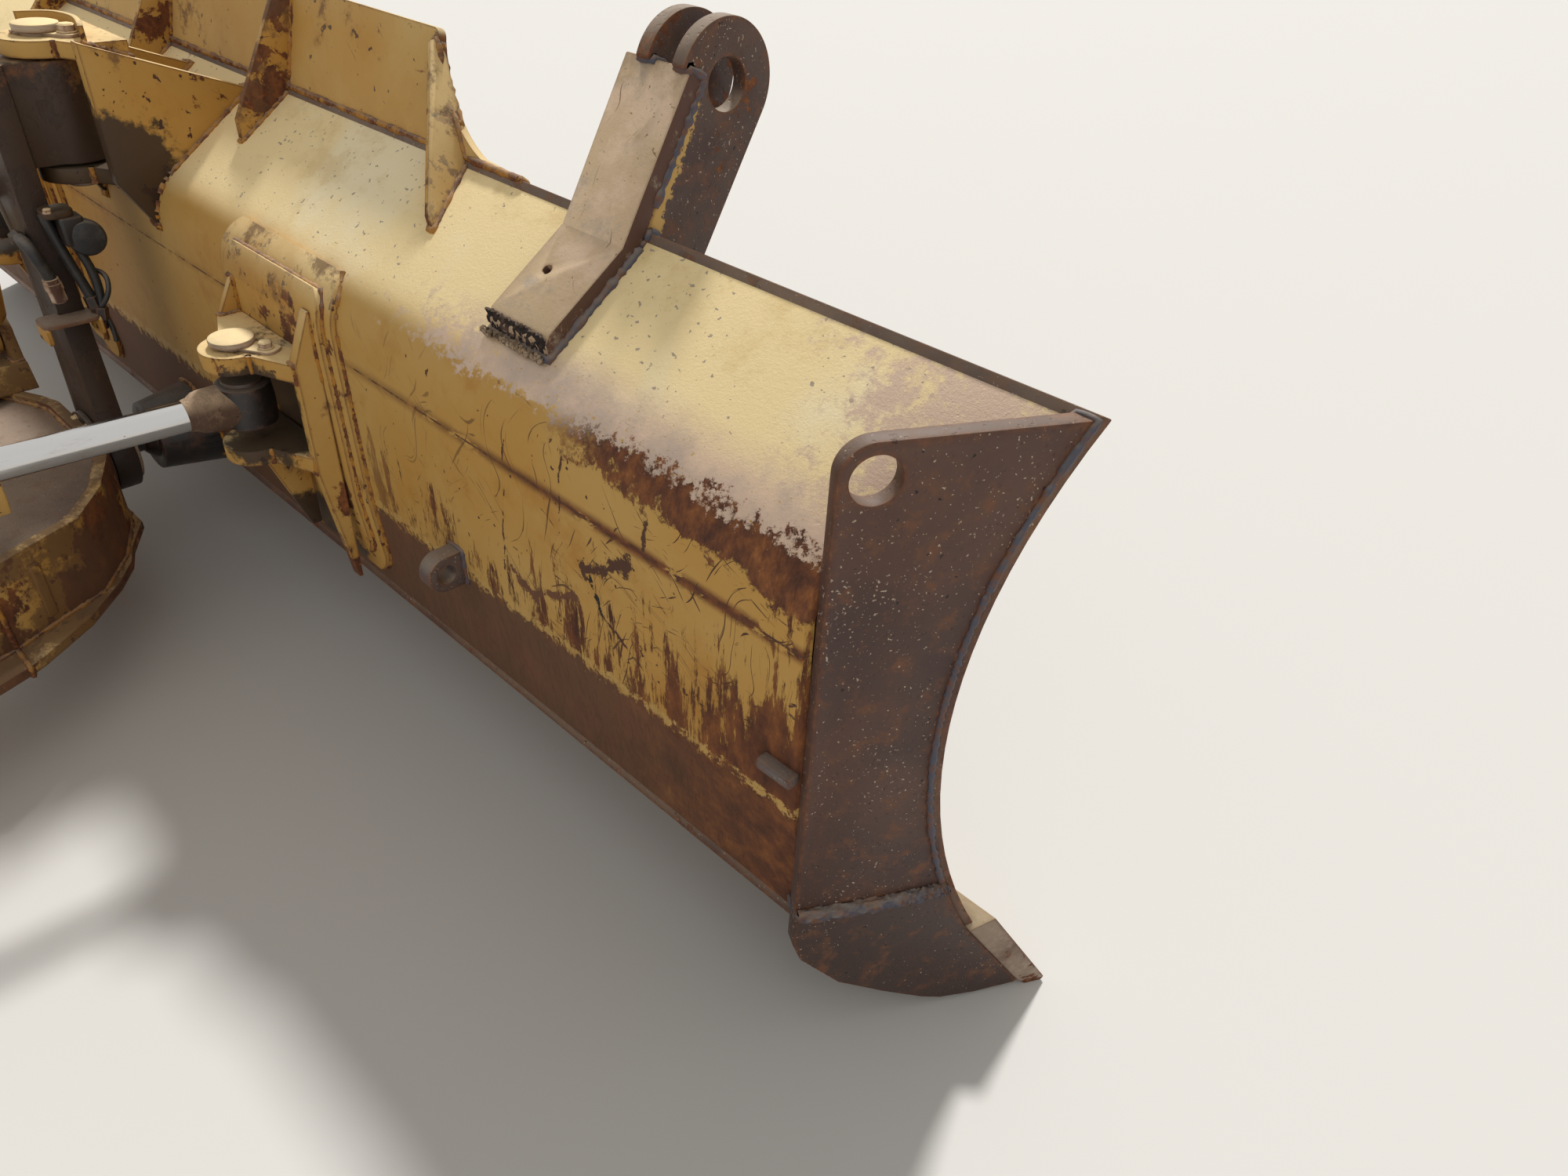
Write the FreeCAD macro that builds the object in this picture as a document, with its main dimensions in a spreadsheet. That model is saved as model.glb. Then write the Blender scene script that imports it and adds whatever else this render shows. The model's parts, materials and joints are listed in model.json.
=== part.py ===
"""Dozer blade assembly: a power-angle-tilt blade on its C-shaped push frame.

The model is drawn in the blade's own coordinates: x from the middle of the blade to the
machine's right, y forward from the back plate's face, z up from the ground. Every piece is
then set back by the frame's reach and down by the trunnion's height, so that the origin of
the assembly lies in the middle of the trunnion pins' common axis.
"""
import FreeCAD, Part
import os
import Sketcher

from FreeCAD import Rotation, Vector

# name, value in mm or degrees
SIZES = (
    # push frame and pivots
    ("reach", 1560),
    ("pin_height", 410),
    ("trunnion_radius", 40),
    ("trunnion_eye_radius", 75),
    ("pivot_y", -60),
    ("ball_z", 270),
    ("ball_radius", 50),
    ("running_gap", 0.05),
    # mouldboard
    ("half_width", 1634),
    ("flare", 30),
    ("mold_radius", 834),
    ("mold_face_y", 139),
    ("mold_z", 522),
    ("mold_thick", 12),
    ("mold_low_z", 164.3),
    ("mold_top_z", 903.2),
    # bent top and back plate
    ("shell_thick", 10),
    ("top_slope", 35.5),
    ("bend_radius", 100),
    ("bend_z", 693),
    ("fold_upper_z", 653),
    ("fold_mid_y", 6),
    ("fold_mid_z", 413),
    ("fold_low_y", 24),
    ("fold_low_z", 235),
    ("bottom_thick", 12),
    ("bottom_y", 212),
    ("bottom_z", 171),
    # cutting edge and end bits
    ("edge_half", 1290),
    ("edge_thick", 26),
    ("bit_thick", 34),
    ("bit_proud", 8),
    ("edge_foot_y", 296),
    ("edge_foot_z", 12),
    # end plates
    ("end_thick", 20),
    ("end_top", 904),
    ("end_corner", 36),
    ("end_seam_z", 260),
    ("wear_proud", 5),
    ("lift_hole_along", 38),
    ("lift_hole_z", 864),
    ("lift_hole_radius", 26),
    # centre guard
    ("guard_lean", 14),
    ("guard_y", 226),
    ("guard_z", 906),
    ("guard_thick", 12),
    ("guard_half", 640),
    ("guard_tall", 154),
    ("guard_foot_half", 775),
    ("guard_tail_half", 870),
    ("guard_sweep", 190),
    ("gusset_thick", 12),
    ("gusset_mid_x", 225),
    ("gusset_end_inset", 27),
    ("gusset_end_lean", 34),
    # upper pivot bracket
    ("cheek_inner", 100),
    ("cheek_thick", 23),
    ("cheek_back_y", -47),
    ("nose_radius", 60),
    ("upper_low", 950),
    ("upper_top", 975),
    ("lower_low", 760),
    ("lower_top", 785),
    ("upper_pin_radius", 25),
    ("eye_play", 5),
    # angle cylinders and their brackets
    ("angle_pin_x", 545),
    ("angle_pin_y", -84),
    ("angle_pin_z", 555),
    ("angle_pin_radius", 24),
    ("angle_head_radius", 26.5),
    ("clevis_nose", 48),
    ("clevis_top_low", 617),
    ("clevis_top_high", 645),
    ("clevis_low_low", 467),
    ("clevis_low_high", 492),
    ("pad_thick", 9),
    ("base_x", 460),
    ("base_forward", 500),
    ("angle_bore", 45),
    ("angle_barrel", 60),
    ("angle_gland", 66),
    ("angle_rod", 22.5),
    ("barrel_share", 0.653),
    ("piston_share", 0.658),
    ("rear_eye", 50),
    ("rear_eye_half", 24),
    ("rear_ball", 36),
    ("rear_pin", 25),
    ("angle_eye", 40),
    ("angle_eye_half", 34),
    # tilt lever and tilt cylinder
    ("lever_back", -177),
    ("lever_front", -135),
    ("ring_radius", 80),
    ("boss_radius", 55),
    ("eye_radius", 55),
    ("tilt_pin_x", -95),
    ("tilt_pin_z", 740),
    ("tilt_base_x", -270),
    ("tilt_base_z", 430),
    ("tilt_y", -235),
    ("tilt_bore", 31.5),
    ("tilt_barrel", 42),
    ("tilt_rod", 18),
    ("tilt_barrel_end", 262),
    ("tilt_piston", 215),
    ("tilt_eye", 38),
    ("tilt_eye_half", 17),
    ("tilt_pin_radius", 20),
    # push frame box
    ("frame_low", 170),
    ("frame_high", 335),
    ("frame_wall", 20),
    ("flange_thick", 18),
    ("cover_top", 323),
    ("cover_thick", 18),
    ("nose_end", -470),
    ("eye_space", 70),
    ("lug_back", 250),
    ("lug_z", 430),
    ("lug_x", 370),
    ("lug_gap", 60),
    ("lug_thick", 20),
    ("lug_bore", 25),
    # tow bracket
    ("tow_x", 1075),
    ("tow_half", 59),
    ("tow_thick", 25),
    ("tow_hole_y", 348),
    ("tow_hole_z", 1062),
    ("tow_hole_radius", 31),
    ("tow_eye_radius", 75),
    ("tow_ear_thick", 22),
    ("tow_gap", 42),
    ("tow_ear_mid", 1089),
    # eye lugs
    ("eyelug_x", 934),
    ("eyelug_z", 421),
    ("eyelug_half", 29),
    ("eyelug_out", 23),
    ("eyelug_thick", 30),
    ("eyelug_hole", 14),
    # longest cut, past every piece
    ("cut_through", 5000),
)

doc = FreeCAD.newDocument("DozerBlade")
sheet = doc.addObject("Spreadsheet::Sheet", "Dim")
for row, (alias, size) in enumerate(SIZES, 1):
    sheet.set(f"A{row}", alias)
    sheet.set(f"B{row}", str(size))
    sheet.setAlias(f"B{row}", alias)
doc.recompute()
NAMES = {alias for alias, size in SIZES}
nodes = {}


def bind(text):
    """Write each size's name in an expression as a reference to its cell."""
    out = ""
    word = ""
    for letter in f"{text} ":
        if letter.isalnum() or letter == "_":
            word += letter
            continue
        out += f"Dim.{word}" if word in NAMES else word
        out += letter
        word = ""
    return out.strip()


def number(text):
    return float(sheet.evalExpression(bind(text)))


def place(item, x="0", y="0", z="0", axis=None, angle="0"):
    """Set a piece at x, y, z of the blade's coordinates, turned about one axis."""
    if axis:
        item.Placement.Rotation = Rotation(Vector(*axis), number(angle))
        item.setExpression("Placement.Rotation.Angle", bind(angle))
    item.setExpression("Placement.Base.x", bind(x))
    item.setExpression("Placement.Base.y", bind(f"reach + {y}"))
    item.setExpression("Placement.Base.z", bind(f"{z} - pin_height"))


def new_body(name, x="0", y="0", z="0", axis=None, angle="0"):
    body = doc.addObject("PartDesign::Body", name)
    place(body, x, y, z, axis, angle)
    return body


def draw_loop(sketch, loop):
    """Add one closed loop: corners (u, v) or (u, v, r), where r makes the next side an arc.

    A positive r turns left and a negative one right. A loop ("round", u, v, r) is a circle.
    """
    if loop[0] == "round":
        centre = Vector(number(loop[1]), number(loop[2]), 0)
        side = sketch.addGeometry(Part.Circle(centre, Vector(0, 0, 1), number(loop[3])), False)
        for kind, text, size in (("DistanceX", loop[1], centre.x), ("DistanceY", loop[2], centre.y)):
            rule = sketch.addConstraint(Sketcher.Constraint(kind, -1, 1, side, 3, size))
            sketch.setExpression(f"Constraints[{rule}]", bind(text))
        rule = sketch.addConstraint(Sketcher.Constraint("Radius", side, number(loop[3])))
        sketch.setExpression(f"Constraints[{rule}]", bind(loop[3]))
        return
    corners = [Vector(number(corner[0]), number(corner[1]), 0) for corner in loop]
    ends = []
    for index, corner in enumerate(loop):
        start = corners[index]
        finish = corners[(index + 1) % len(loop)]
        if len(corner) < 3:
            side = sketch.addGeometry(Part.LineSegment(start, finish), False)
            ends.append((side, 1, 2))
            continue
        radius = number(corner[2])
        chord = finish - start
        left = Vector(-chord.y, chord.x, 0).normalize()
        rise = max(radius ** 2 - (chord.Length / 2) ** 2, 0) ** 0.5
        centre = (start + finish) * 0.5 + left * (rise if radius > 0 else -rise)
        first, last = (start, finish) if radius > 0 else (finish, start)
        angles = [Vector(1, 0, 0).getAngle(point - centre) for point in (first, last)]
        for which, point in enumerate((first, last)):
            if point.y < centre.y:
                angles[which] = -angles[which]
        circle = Part.Circle(centre, Vector(0, 0, 1), abs(radius))
        side = sketch.addGeometry(Part.ArcOfCircle(circle, angles[0], angles[1]), False)
        rule = sketch.addConstraint(Sketcher.Constraint("Radius", side, abs(radius)))
        sketch.setExpression(f"Constraints[{rule}]", bind(corner[2] if radius > 0 else f"-({corner[2]})"))
        ends.append((side, 1, 2) if radius > 0 else (side, 2, 1))
    for index, corner in enumerate(loop):
        side, first, last = ends[index]
        after, after_first, after_last = ends[(index + 1) % len(ends)]
        sketch.addConstraint(Sketcher.Constraint("Coincident", side, last, after, after_first))
        sizes = (("DistanceX", corner[0], corners[index].x), ("DistanceY", corner[1], corners[index].y))
        for kind, text, size in sizes:
            rule = sketch.addConstraint(Sketcher.Constraint(kind, -1, 1, side, first, size))
            sketch.setExpression(f"Constraints[{rule}]", bind(text))


def draw(body, plane, loops, depth="0", slant=False):
    """Sketch loops on one of the body's origin planes, moved out along its normal."""
    sketch = body.newObject("Sketcher::SketchObject", f"{body.Name}_sketch")
    origin = [item for item in body.Origin.OriginFeatures if item.Role == f"{plane}_Plane"][0]
    sketch.AttachmentSupport = [(origin, "")]
    sketch.MapMode = "FlatFace"
    if slant:
        sketch.AttachmentOffset = FreeCAD.Placement(Vector(), Rotation(Vector(0, -1, 0), number("flare")))
        sketch.setExpression("AttachmentOffset.Rotation.Angle", bind("flare"))
    sketch.setExpression("AttachmentOffset.Base.z", bind(depth))
    for loop in loops:
        draw_loop(sketch, loop)
    return sketch


def pad(body, plane, loops, start, finish):
    """Pad loops along the plane's axis from start to finish."""
    depth = f"-({finish})" if plane == "XZ" else start
    feature = body.newObject("PartDesign::Pad", f"{body.Name}_pad")
    feature.Profile = draw(body, plane, loops, depth)
    feature.setExpression("Length", bind(f"({finish}) - ({start})"))
    return feature


def slanted_pad(body, loops, start, finish):
    """Pad loops drawn along the flared end, from start to finish outwards."""
    feature = body.newObject("PartDesign::Pad", f"{body.Name}_pad")
    sketch = draw(body, "YZ", loops, "half_width", True)
    feature.Profile = sketch
    feature.SideType = "Two sides"
    feature.setExpression("Length", bind(finish) if number(finish) > 0 else bind(f"-({start})"))
    if number(finish) > 0:
        feature.setExpression("Length2", bind(f"-({start})"))
    else:
        feature.SideType = "One side"
        feature.Reversed = True
    return feature


def pocket(body, plane, loops, depth="0", slant=False):
    """Cut loops right through the body, both ways."""
    doc.recompute()
    before = body.Shape.Volume
    feature = body.newObject("PartDesign::Pocket", f"{body.Name}_pocket")
    feature.Profile = draw(body, plane, loops, depth, slant)
    feature.SideType = "Symmetric"
    feature.setExpression("Length", bind("cut_through"))
    doc.recompute()
    if body.Shape.Volume >= before - 1:
        raise RuntimeError(f"{body.Name}: a pocket cuts nothing")
    return feature


def keep_inside(body, plane, loop, reach="2400"):
    """Cut away everything outside one loop."""
    frame = [(f"-{reach}", f"-{reach}"), (reach, f"-{reach}"), (reach, reach), (f"-{reach}", reach)]
    return pocket(body, plane, [frame, loop])


def lathe(body, loop):
    """Turn a profile drawn in the body's YZ plane about its z axis."""
    feature = body.newObject("PartDesign::Revolution", f"{body.Name}_turned")
    feature.Profile = draw(body, "YZ", [loop])
    axis = [item for item in body.Origin.OriginFeatures if item.Role == "Z_Axis"][0]
    feature.ReferenceAxis = (axis, [""])
    return feature


def drum(name, radius, length, x, y, z, axis=None, angle="0"):
    """A plain cylinder, standing on x, y, z."""
    item = doc.addObject("Part::Cylinder", name)
    item.setExpression("Radius", bind(radius))
    item.setExpression("Height", bind(length))
    place(item, x, y, z, axis, angle)
    return item


def fuse(name, items):
    whole = doc.addObject("Part::MultiFuse", name)
    whole.Shapes = items
    whole.Refine = True
    return whole


def cut(name, base, tool):
    rest = doc.addObject("Part::Cut", name)
    rest.Base = base
    rest.Tool = tool
    rest.Refine = True
    return rest


def node(name, item):
    nodes[name] = item
    item.Label = name
    return item


def mirrored(name, item):
    """The left-hand piece of a right-hand one."""
    other = doc.addObject("Part::Mirroring", name)
    other.Source = item
    other.Normal = Vector(1, 0, 0)
    return node(name, other)


def both_sides(name, item):
    node(f"{name}_right", item)
    return mirrored(f"{name}_left", item)


def face_at(shape, side):
    """Name of the flat face that lies farthest along a direction."""
    best = max(range(len(shape.Faces)), key=lambda index: shape.Faces[index].CenterOfMass.dot(side))
    return f"Face{best + 1}"


AXIS_Y_BACK = (1, 0, 0)
mold_y = "(mold_face_y + mold_radius)"
mold_low = "asin((mold_z - mold_low_z)/mold_radius)"
mold_high = "asin((mold_top_z - mold_z)/mold_radius)"
base_y = "(base_forward - reach)"
arm_end = "(eye_space - reach)"
lug_y = "(nose_end - lug_back)"

# outline of the blade box, seen from its end
back_low = ("fold_low_y", "fold_low_z")
back_mid = ("fold_mid_y", "fold_mid_z")
back_high = ("0", "fold_upper_z")
bend_low = ("0", "bend_z")
bend_top = ("bend_radius - bend_radius*sin(top_slope)", "bend_z + bend_radius*cos(top_slope)")
back_face = "(mold_radius + mold_thick)"
# run of the top plate from its bend to the mouldboard's back face
gap_y = f"({bend_top[0]} - {mold_y})"
gap_z = f"({bend_top[1]} - mold_z)"
along = f"(-({gap_y}*cos(top_slope) + {gap_z}*sin(top_slope)))"
top_run = f"({along} - sqrt({along}^2 - {gap_y}^2 - {gap_z}^2 + {back_face}^2))"
slope_end = (f"{bend_top[0]} + {top_run}*cos(top_slope)", f"{bend_top[1]} + {top_run}*sin(top_slope)")
inner = "(bend_radius - shell_thick)"
inner_bend_top = (f"bend_radius - {inner}*sin(top_slope)", f"bend_z + {inner}*cos(top_slope)")
inner_end = (f"{inner_bend_top[0]} + {top_run}*cos(top_slope)", f"{inner_bend_top[1]} + {top_run}*sin(top_slope)")
front_low = (f"{mold_y} - mold_radius*cos({mold_low})", "mold_low_z")
front_top = (f"{mold_y} - mold_radius*cos({mold_high})", "mold_top_z")
rear_low = (f"{mold_y} - {back_face}*cos({mold_low})", f"mold_z - {back_face}*sin({mold_low})")
rear_top = (f"{mold_y} - {back_face}*cos({mold_high})", f"mold_z + {back_face}*sin({mold_high})")
bottom_tan = "(fold_low_z - bottom_z)/(bottom_y - fold_low_y)"

core_loop = [
    back_low,
    ("fold_low_y - bottom_thick/3", "fold_low_z - bottom_thick"),
    ("bottom_y - bottom_thick/3", "bottom_z - bottom_thick"),
    (*front_low, "-mold_radius"),
    front_top,
    rear_top,
    slope_end,
    (*bend_top, "bend_radius"),
    bend_low,
    back_high,
    back_mid,
]
# everything in front of the mouldboard's back face and of the cutting edge's
front_loop = [
    ("edge_foot_y", "-100"),
    ("700", "-100"),
    ("700", "1300"),
    (rear_top[0], "1300"),
    (*rear_top, back_face),
    rear_low,
    ("edge_foot_y", "edge_foot_z"),
]


def plan_between_ends(inset):
    """Plan of the space between the flared ends, drawn back by an inset."""
    corners = []
    for side, y in (("-", "-200"), ("", "-200"), ("", "500"), ("-", "500")):
        corners.append((f"{side}(half_width - {inset}/cos(flare) + ({y})*tan(flare))", y))
    return corners


# blade box
core = new_body("core")
pad(core, "YZ", [core_loop], "-half_width", "half_width")

moldboard = new_body("moldboard_body")
pad(moldboard, "YZ", [[
    (*front_low, "-mold_radius"),
    front_top,
    (*rear_top, back_face),
    rear_low,
]], "-half_width - 200", "half_width + 200")
keep_inside(moldboard, "XY", plan_between_ends("0"))
node("moldboard", moldboard)

shell = new_body("shell_body")
pad(shell, "YZ", [[
    back_low,
    ("fold_low_y + shell_thick", f"fold_low_z - shell_thick*{bottom_tan}"),
    ("fold_mid_y + shell_thick", "fold_mid_z"),
    ("shell_thick", "fold_upper_z"),
    ("shell_thick", "bend_z", f"-{inner}"),
    inner_bend_top,
    inner_end,
    slope_end,
    (*bend_top, "bend_radius"),
    bend_low,
    back_high,
    back_mid,
]], "-half_width - 200", "half_width + 200")
keep_inside(shell, "XY", plan_between_ends("end_thick"))
pocket(shell, "YZ", [front_loop])
node("back_shell", shell)

bottom = new_body("bottom_body")
pad(bottom, "YZ", [[
    ("fold_low_y - bottom_thick/3", "fold_low_z - bottom_thick"),
    ("bottom_y + 20 - bottom_thick/3", f"bottom_z - 20*{bottom_tan} - bottom_thick"),
    ("bottom_y + 20", f"bottom_z - 20*{bottom_tan}"),
    back_low,
]], "-half_width - 200", "half_width + 200")
keep_inside(bottom, "XY", plan_between_ends("end_thick"))
pocket(bottom, "YZ", [front_loop])
node("bottom_plate", bottom)

# cutting edge and end bits, thickness measured along the mouldboard's lower end
def edge_loop(thick, lift):
    return [
        rear_low,
        ("edge_foot_y", "edge_foot_z"),
        ("edge_foot_y + 11", "0"),
        ("edge_foot_y + 16 + ({0})/2".format(thick), "0"),
        ("edge_foot_y + 19 + ({0})/2".format(thick), lift),
        (f"{rear_low[0]} + {thick}*cos({mold_low})", f"{rear_low[1]} + {thick}*sin({mold_low})"),
    ]


edge = new_body("edge_body")
pad(edge, "YZ", [edge_loop("edge_thick", "5")], "-edge_half", "edge_half")
node("cutting_edge", edge)

bit = new_body("bit_body")
pad(bit, "YZ", [edge_loop("bit_thick", "7")], "edge_half", "half_width + 300")
keep_inside(bit, "XY", plan_between_ends("-bit_proud"))
both_sides("end_bit", bit)

# flared end plates, drawn along their own slant
end_plate = new_body("end_plate_body")
slanted_pad(end_plate, [[
    ("0", "end_seam_z"),
    ("400", "end_seam_z"),
    ("400", "end_top"),
    ("end_corner", "end_top", "end_corner"),
    ("0", "end_top - end_corner"),
]], "-end_thick", "0")
pocket(end_plate, "YZ", [front_loop])
pocket(end_plate, "YZ", [("round", "lift_hole_along", "lift_hole_z", "lift_hole_radius")], "half_width", True)
both_sides("end_plate", end_plate)

WEAR_OUTLINE = (
    # along, z
    (0, 207),
    (12, 173),
    (68, 106),
    (136, 60),
    (197, 24),
    (225, 12),
    (278, 5),
    (330, 5),
)
wear_plate = new_body("wear_plate_body")
slanted_pad(wear_plate, [
    [("0", "end_seam_z")]
    + [(str(along), str(z)) for along, z in WEAR_OUTLINE]
    + [("400", "5"), ("400", "end_seam_z")],
], "-end_thick", "wear_proud")
pocket(wear_plate, "YZ", [front_loop])
both_sides("end_wear_plate", wear_plate)

# centre guard standing on the mouldboard's upper edge
guard_blank = new_body("guard_blank", "0", "guard_y", "guard_z", (-1, 0, 0), "guard_lean")
pad(guard_blank, "XZ", [[
    ("-guard_tail_half", "-10"),
    ("guard_tail_half", "-10"),
    ("guard_tail_half", "1"),
    ("guard_foot_half", "7", "-guard_sweep"),
    ("guard_half + 12", "guard_tall - 14", "14"),
    ("guard_half", "guard_tall"),
    ("-guard_half", "guard_tall", "14"),
    ("-guard_half - 12", "guard_tall - 14", "-guard_sweep"),
    ("-guard_foot_half", "7"),
    ("-guard_tail_half", "1"),
]], "-guard_thick/2", "guard_thick/2")
guard = node("center_guard", cut("center_guard", guard_blank, core))

guard_mid = ("guard_y + 140*sin(guard_lean)", "guard_z + 140*cos(guard_lean)")
gusset_tool = fuse("gusset_tool", [core, guard_blank])
gusset_mid = new_body("gusset_mid_blank")
pad(gusset_mid, "YZ", [[
    ("124", "830"),
    ("212", "887"),
    ("guard_y", "guard_z"),
    guard_mid,
    ("222", "1044"),
    ("124", "868"),
]], "gusset_mid_x - gusset_thick/2", "gusset_mid_x + gusset_thick/2")
both_sides("gusset_mid", cut("gusset_mid_right", gusset_mid, gusset_tool))

gusset_end = new_body("gusset_end_blank", "guard_foot_half - gusset_end_inset", "0", "885", (0, -1, 0), "gusset_end_lean")
pad(gusset_end, "YZ", [[
    ("127", "-70"),
    ("212", "-4"),
    ("228", "24"),
    ("262", "187"),
    ("243", "187"),
    ("131", "-38"),
]], "-gusset_thick/2", "gusset_thick/2")
both_sides("gusset_end", cut("gusset_end_right", gusset_end, gusset_tool))

# upper pivot bracket in the middle of the blade
cheek = new_body("cheek_blank")
pad(cheek, "YZ", [[
    ("cheek_back_y", "770"),
    ("0", "690"),
    ("6", "700"),
    ("46", "770"),
    ("194", "875"),
    ("200", "888"),
    ("cheek_back_y", "980"),
]], "cheek_inner", "cheek_inner + cheek_thick")
cheek_left = doc.addObject("Part::Mirroring", "cheek_left")
cheek_left.Source = cheek
cheek_left.Normal = Vector(1, 0, 0)


def fork_plate(name, low, top, front):
    """Flat plate between the cheeks with a round nose about the pin."""
    plate = new_body(name)
    pad(plate, "XY", [[
        ("-nose_radius", "pivot_y", "nose_radius"),
        ("0", "pivot_y - nose_radius", "nose_radius"),
        ("nose_radius", "pivot_y"),
        ("cheek_inner + 4", "cheek_back_y + 12"),
        ("cheek_inner + 4", front),
        ("-cheek_inner - 4", front),
        ("-cheek_inner - 4", "cheek_back_y + 12"),
    ]], low, top)
    return plate


plates = [
    fork_plate("fork_upper", "upper_low", "upper_top", "33"),
    fork_plate("fork_lower", "lower_low", "lower_top", "60"),
]
bracket_raw = fuse("bracket_raw", [cheek, cheek_left, *plates])
pin_hole = drum("pin_hole", "upper_pin_radius + running_gap", "500", "0", "pivot_y", "600")
node("upper_bracket", cut("upper_bracket", bracket_raw, fuse("bracket_tool", [core, pin_hole])))

pin_stem = drum("pin_stem", "upper_pin_radius", "upper_top - lower_low + 14", "0", "pivot_y", "lower_low - 14")
pin_head = drum("pin_head", "upper_pin_radius + 8", "14", "0", "pivot_y", "upper_top")
node("upper_pin", fuse("upper_pin", [pin_stem, pin_head]))

# socket for the lower ball, on the back plate
socket_cone = doc.addObject("Part::Cone", "socket_cone")
socket_cone.setExpression("Radius1", "85")
socket_cone.setExpression("Radius2", "66")
socket_cone.setExpression("Height", "115")
place(socket_cone, "0", "30", "ball_z", AXIS_Y_BACK, "90")
ball_room = doc.addObject("Part::Sphere", "ball_room")
ball_room.setExpression("Radius", bind("ball_radius + running_gap"))
place(ball_room, "0", "pivot_y", "ball_z")
node("ball_socket", cut("ball_socket", socket_cone, fuse("socket_tool", [core, ball_room])))


# angle cylinder brackets
def wrap_loop(low_z, top_angle, near, far):
    """Strip that follows the back plate and its bend, from one distance to another."""
    share = f"((fold_mid_z - {low_z})/(fold_mid_z - fold_low_z))"
    foot = f"(fold_mid_y + (fold_low_y - fold_mid_y)*{share})"
    return [
        (f"{foot} - {far}", low_z),
        (f"{foot} - {near}", low_z),
        (f"fold_mid_y - {near}", "fold_mid_z"),
        (f"-{near}", "fold_upper_z"),
        (f"-{near}", "bend_z", f"-(bend_radius + {near})"),
        (f"bend_radius - (bend_radius + {near})*cos({top_angle})", f"bend_z + (bend_radius + {near})*sin({top_angle})"),
        (f"bend_radius - (bend_radius + {far})*cos({top_angle})", f"bend_z + (bend_radius + {far})*sin({top_angle})",
         f"bend_radius + {far}"),
        (f"-{far}", "bend_z"),
        (f"-{far}", "fold_upper_z"),
        (f"fold_mid_y - {far}", "fold_mid_z"),
    ]


PADS = (
    # name, low z, top angle, left x, right x, corner, near, far
    ("pad_outer", "262", "50", "372", "712", "60", "0", "pad_thick"),
    ("pad_inner", "300", "30", "402", "690", "40", "pad_thick", "pad_thick*2"),
)
bracket_parts = []
for pad_name, low_z, top_angle, left_x, right_x, corner, near, far in PADS:
    strip = new_body(pad_name)
    pad(strip, "YZ", [wrap_loop(low_z, top_angle, near, far)], left_x, right_x)
    top_z = f"(bend_z + bend_radius*sin({top_angle}) + 14)"
    keep_inside(strip, "XZ", [
        (f"{left_x} + {corner}", f"{low_z} - 5"),
        (f"{right_x} - {corner}", f"{low_z} - 5", corner),
        (right_x, f"{low_z} - 5 + {corner}"),
        (right_x, f"{top_z} - {corner}", corner),
        (f"{right_x} - {corner}", top_z),
        (f"{left_x} + {corner}", top_z, corner),
        (left_x, f"{top_z} - {corner}"),
        (left_x, f"{low_z} - 5 + {corner}", corner),
    ])
    bracket_parts.append(strip)

CLEVIS = (
    # name, low z, high z
    ("clevis_upper", "clevis_top_low", "clevis_top_high"),
    ("clevis_lower", "clevis_low_low", "clevis_low_high"),
)
for clevis_name, low_z, high_z in CLEVIS:
    plate = new_body(clevis_name)
    pad(plate, "XY", [[
        ("angle_pin_x - clevis_nose", "angle_pin_y", "clevis_nose"),
        ("angle_pin_x", "angle_pin_y - clevis_nose", "clevis_nose"),
        ("angle_pin_x + clevis_nose", "angle_pin_y"),
        ("angle_pin_x + 126", "-50"),
        ("angle_pin_x + 126", "-18"),
        ("angle_pin_x - 126", "-18"),
        ("angle_pin_x - 126", "-50"),
    ]], low_z, high_z)
    bracket_parts.append(plate)

SIDES = (
    # name, left x, right x, outline of y and z
    ("cheek_thick_side", "652", "672", ((-17, 262), (-23, 262), (-52, 466), (-52, 646), (-20, 720), (-17, 720))),
    ("cheek_thin_side", "419", "431", ((-17, 400), (-30, 400), (-50, 466), (-50, 646), (-20, 700), (-17, 700))),
    ("clevis_rib", "539", "551", ((-15, 310), (-30, 310), (-86, 468), (-15, 468))),
)
for side_name, left_x, right_x, outline in SIDES:
    side = new_body(side_name)
    pad(side, "YZ", [[(str(y), str(z)) for y, z in reversed(outline)]], left_x, right_x)
    bracket_parts.append(side)
bracket_raw_side = fuse("angle_bracket_raw", bracket_parts)
angle_hole = drum("angle_hole", "angle_pin_radius + running_gap", "clevis_top_high - clevis_top_low + 40",
                  "angle_pin_x", "angle_pin_y", "clevis_top_low - 20")
both_sides("angle_bracket", cut("angle_bracket_right", bracket_raw_side, fuse("angle_tool", [core, angle_hole])))

stub = drum("stub", "angle_pin_radius", "clevis_top_high - clevis_top_low + 2",
            "angle_pin_x", "angle_pin_y", "clevis_top_low + 4")
stub_head = drum("stub_head", "angle_head_radius", "9", "angle_pin_x", "angle_pin_y", "clevis_top_high")
both_sides("angle_pin", fuse("angle_pin_right", [stub, stub_head]))

# eye lugs on the back plate
eyelug = new_body("eyelug_blank")
pad(eyelug, "YZ", [[
    ("15", "eyelug_z + eyelug_half"),
    ("-eyelug_out", "eyelug_z + eyelug_half", "eyelug_half"),
    ("-eyelug_out - eyelug_half", "eyelug_z", "eyelug_half"),
    ("-eyelug_out", "eyelug_z - eyelug_half"),
    ("15", "eyelug_z - eyelug_half"),
], ("round", "-eyelug_out", "eyelug_z", "eyelug_hole")], "eyelug_x", "eyelug_x + eyelug_thick")
both_sides("eye_lug", cut("eye_lug_right", eyelug, core))

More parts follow.
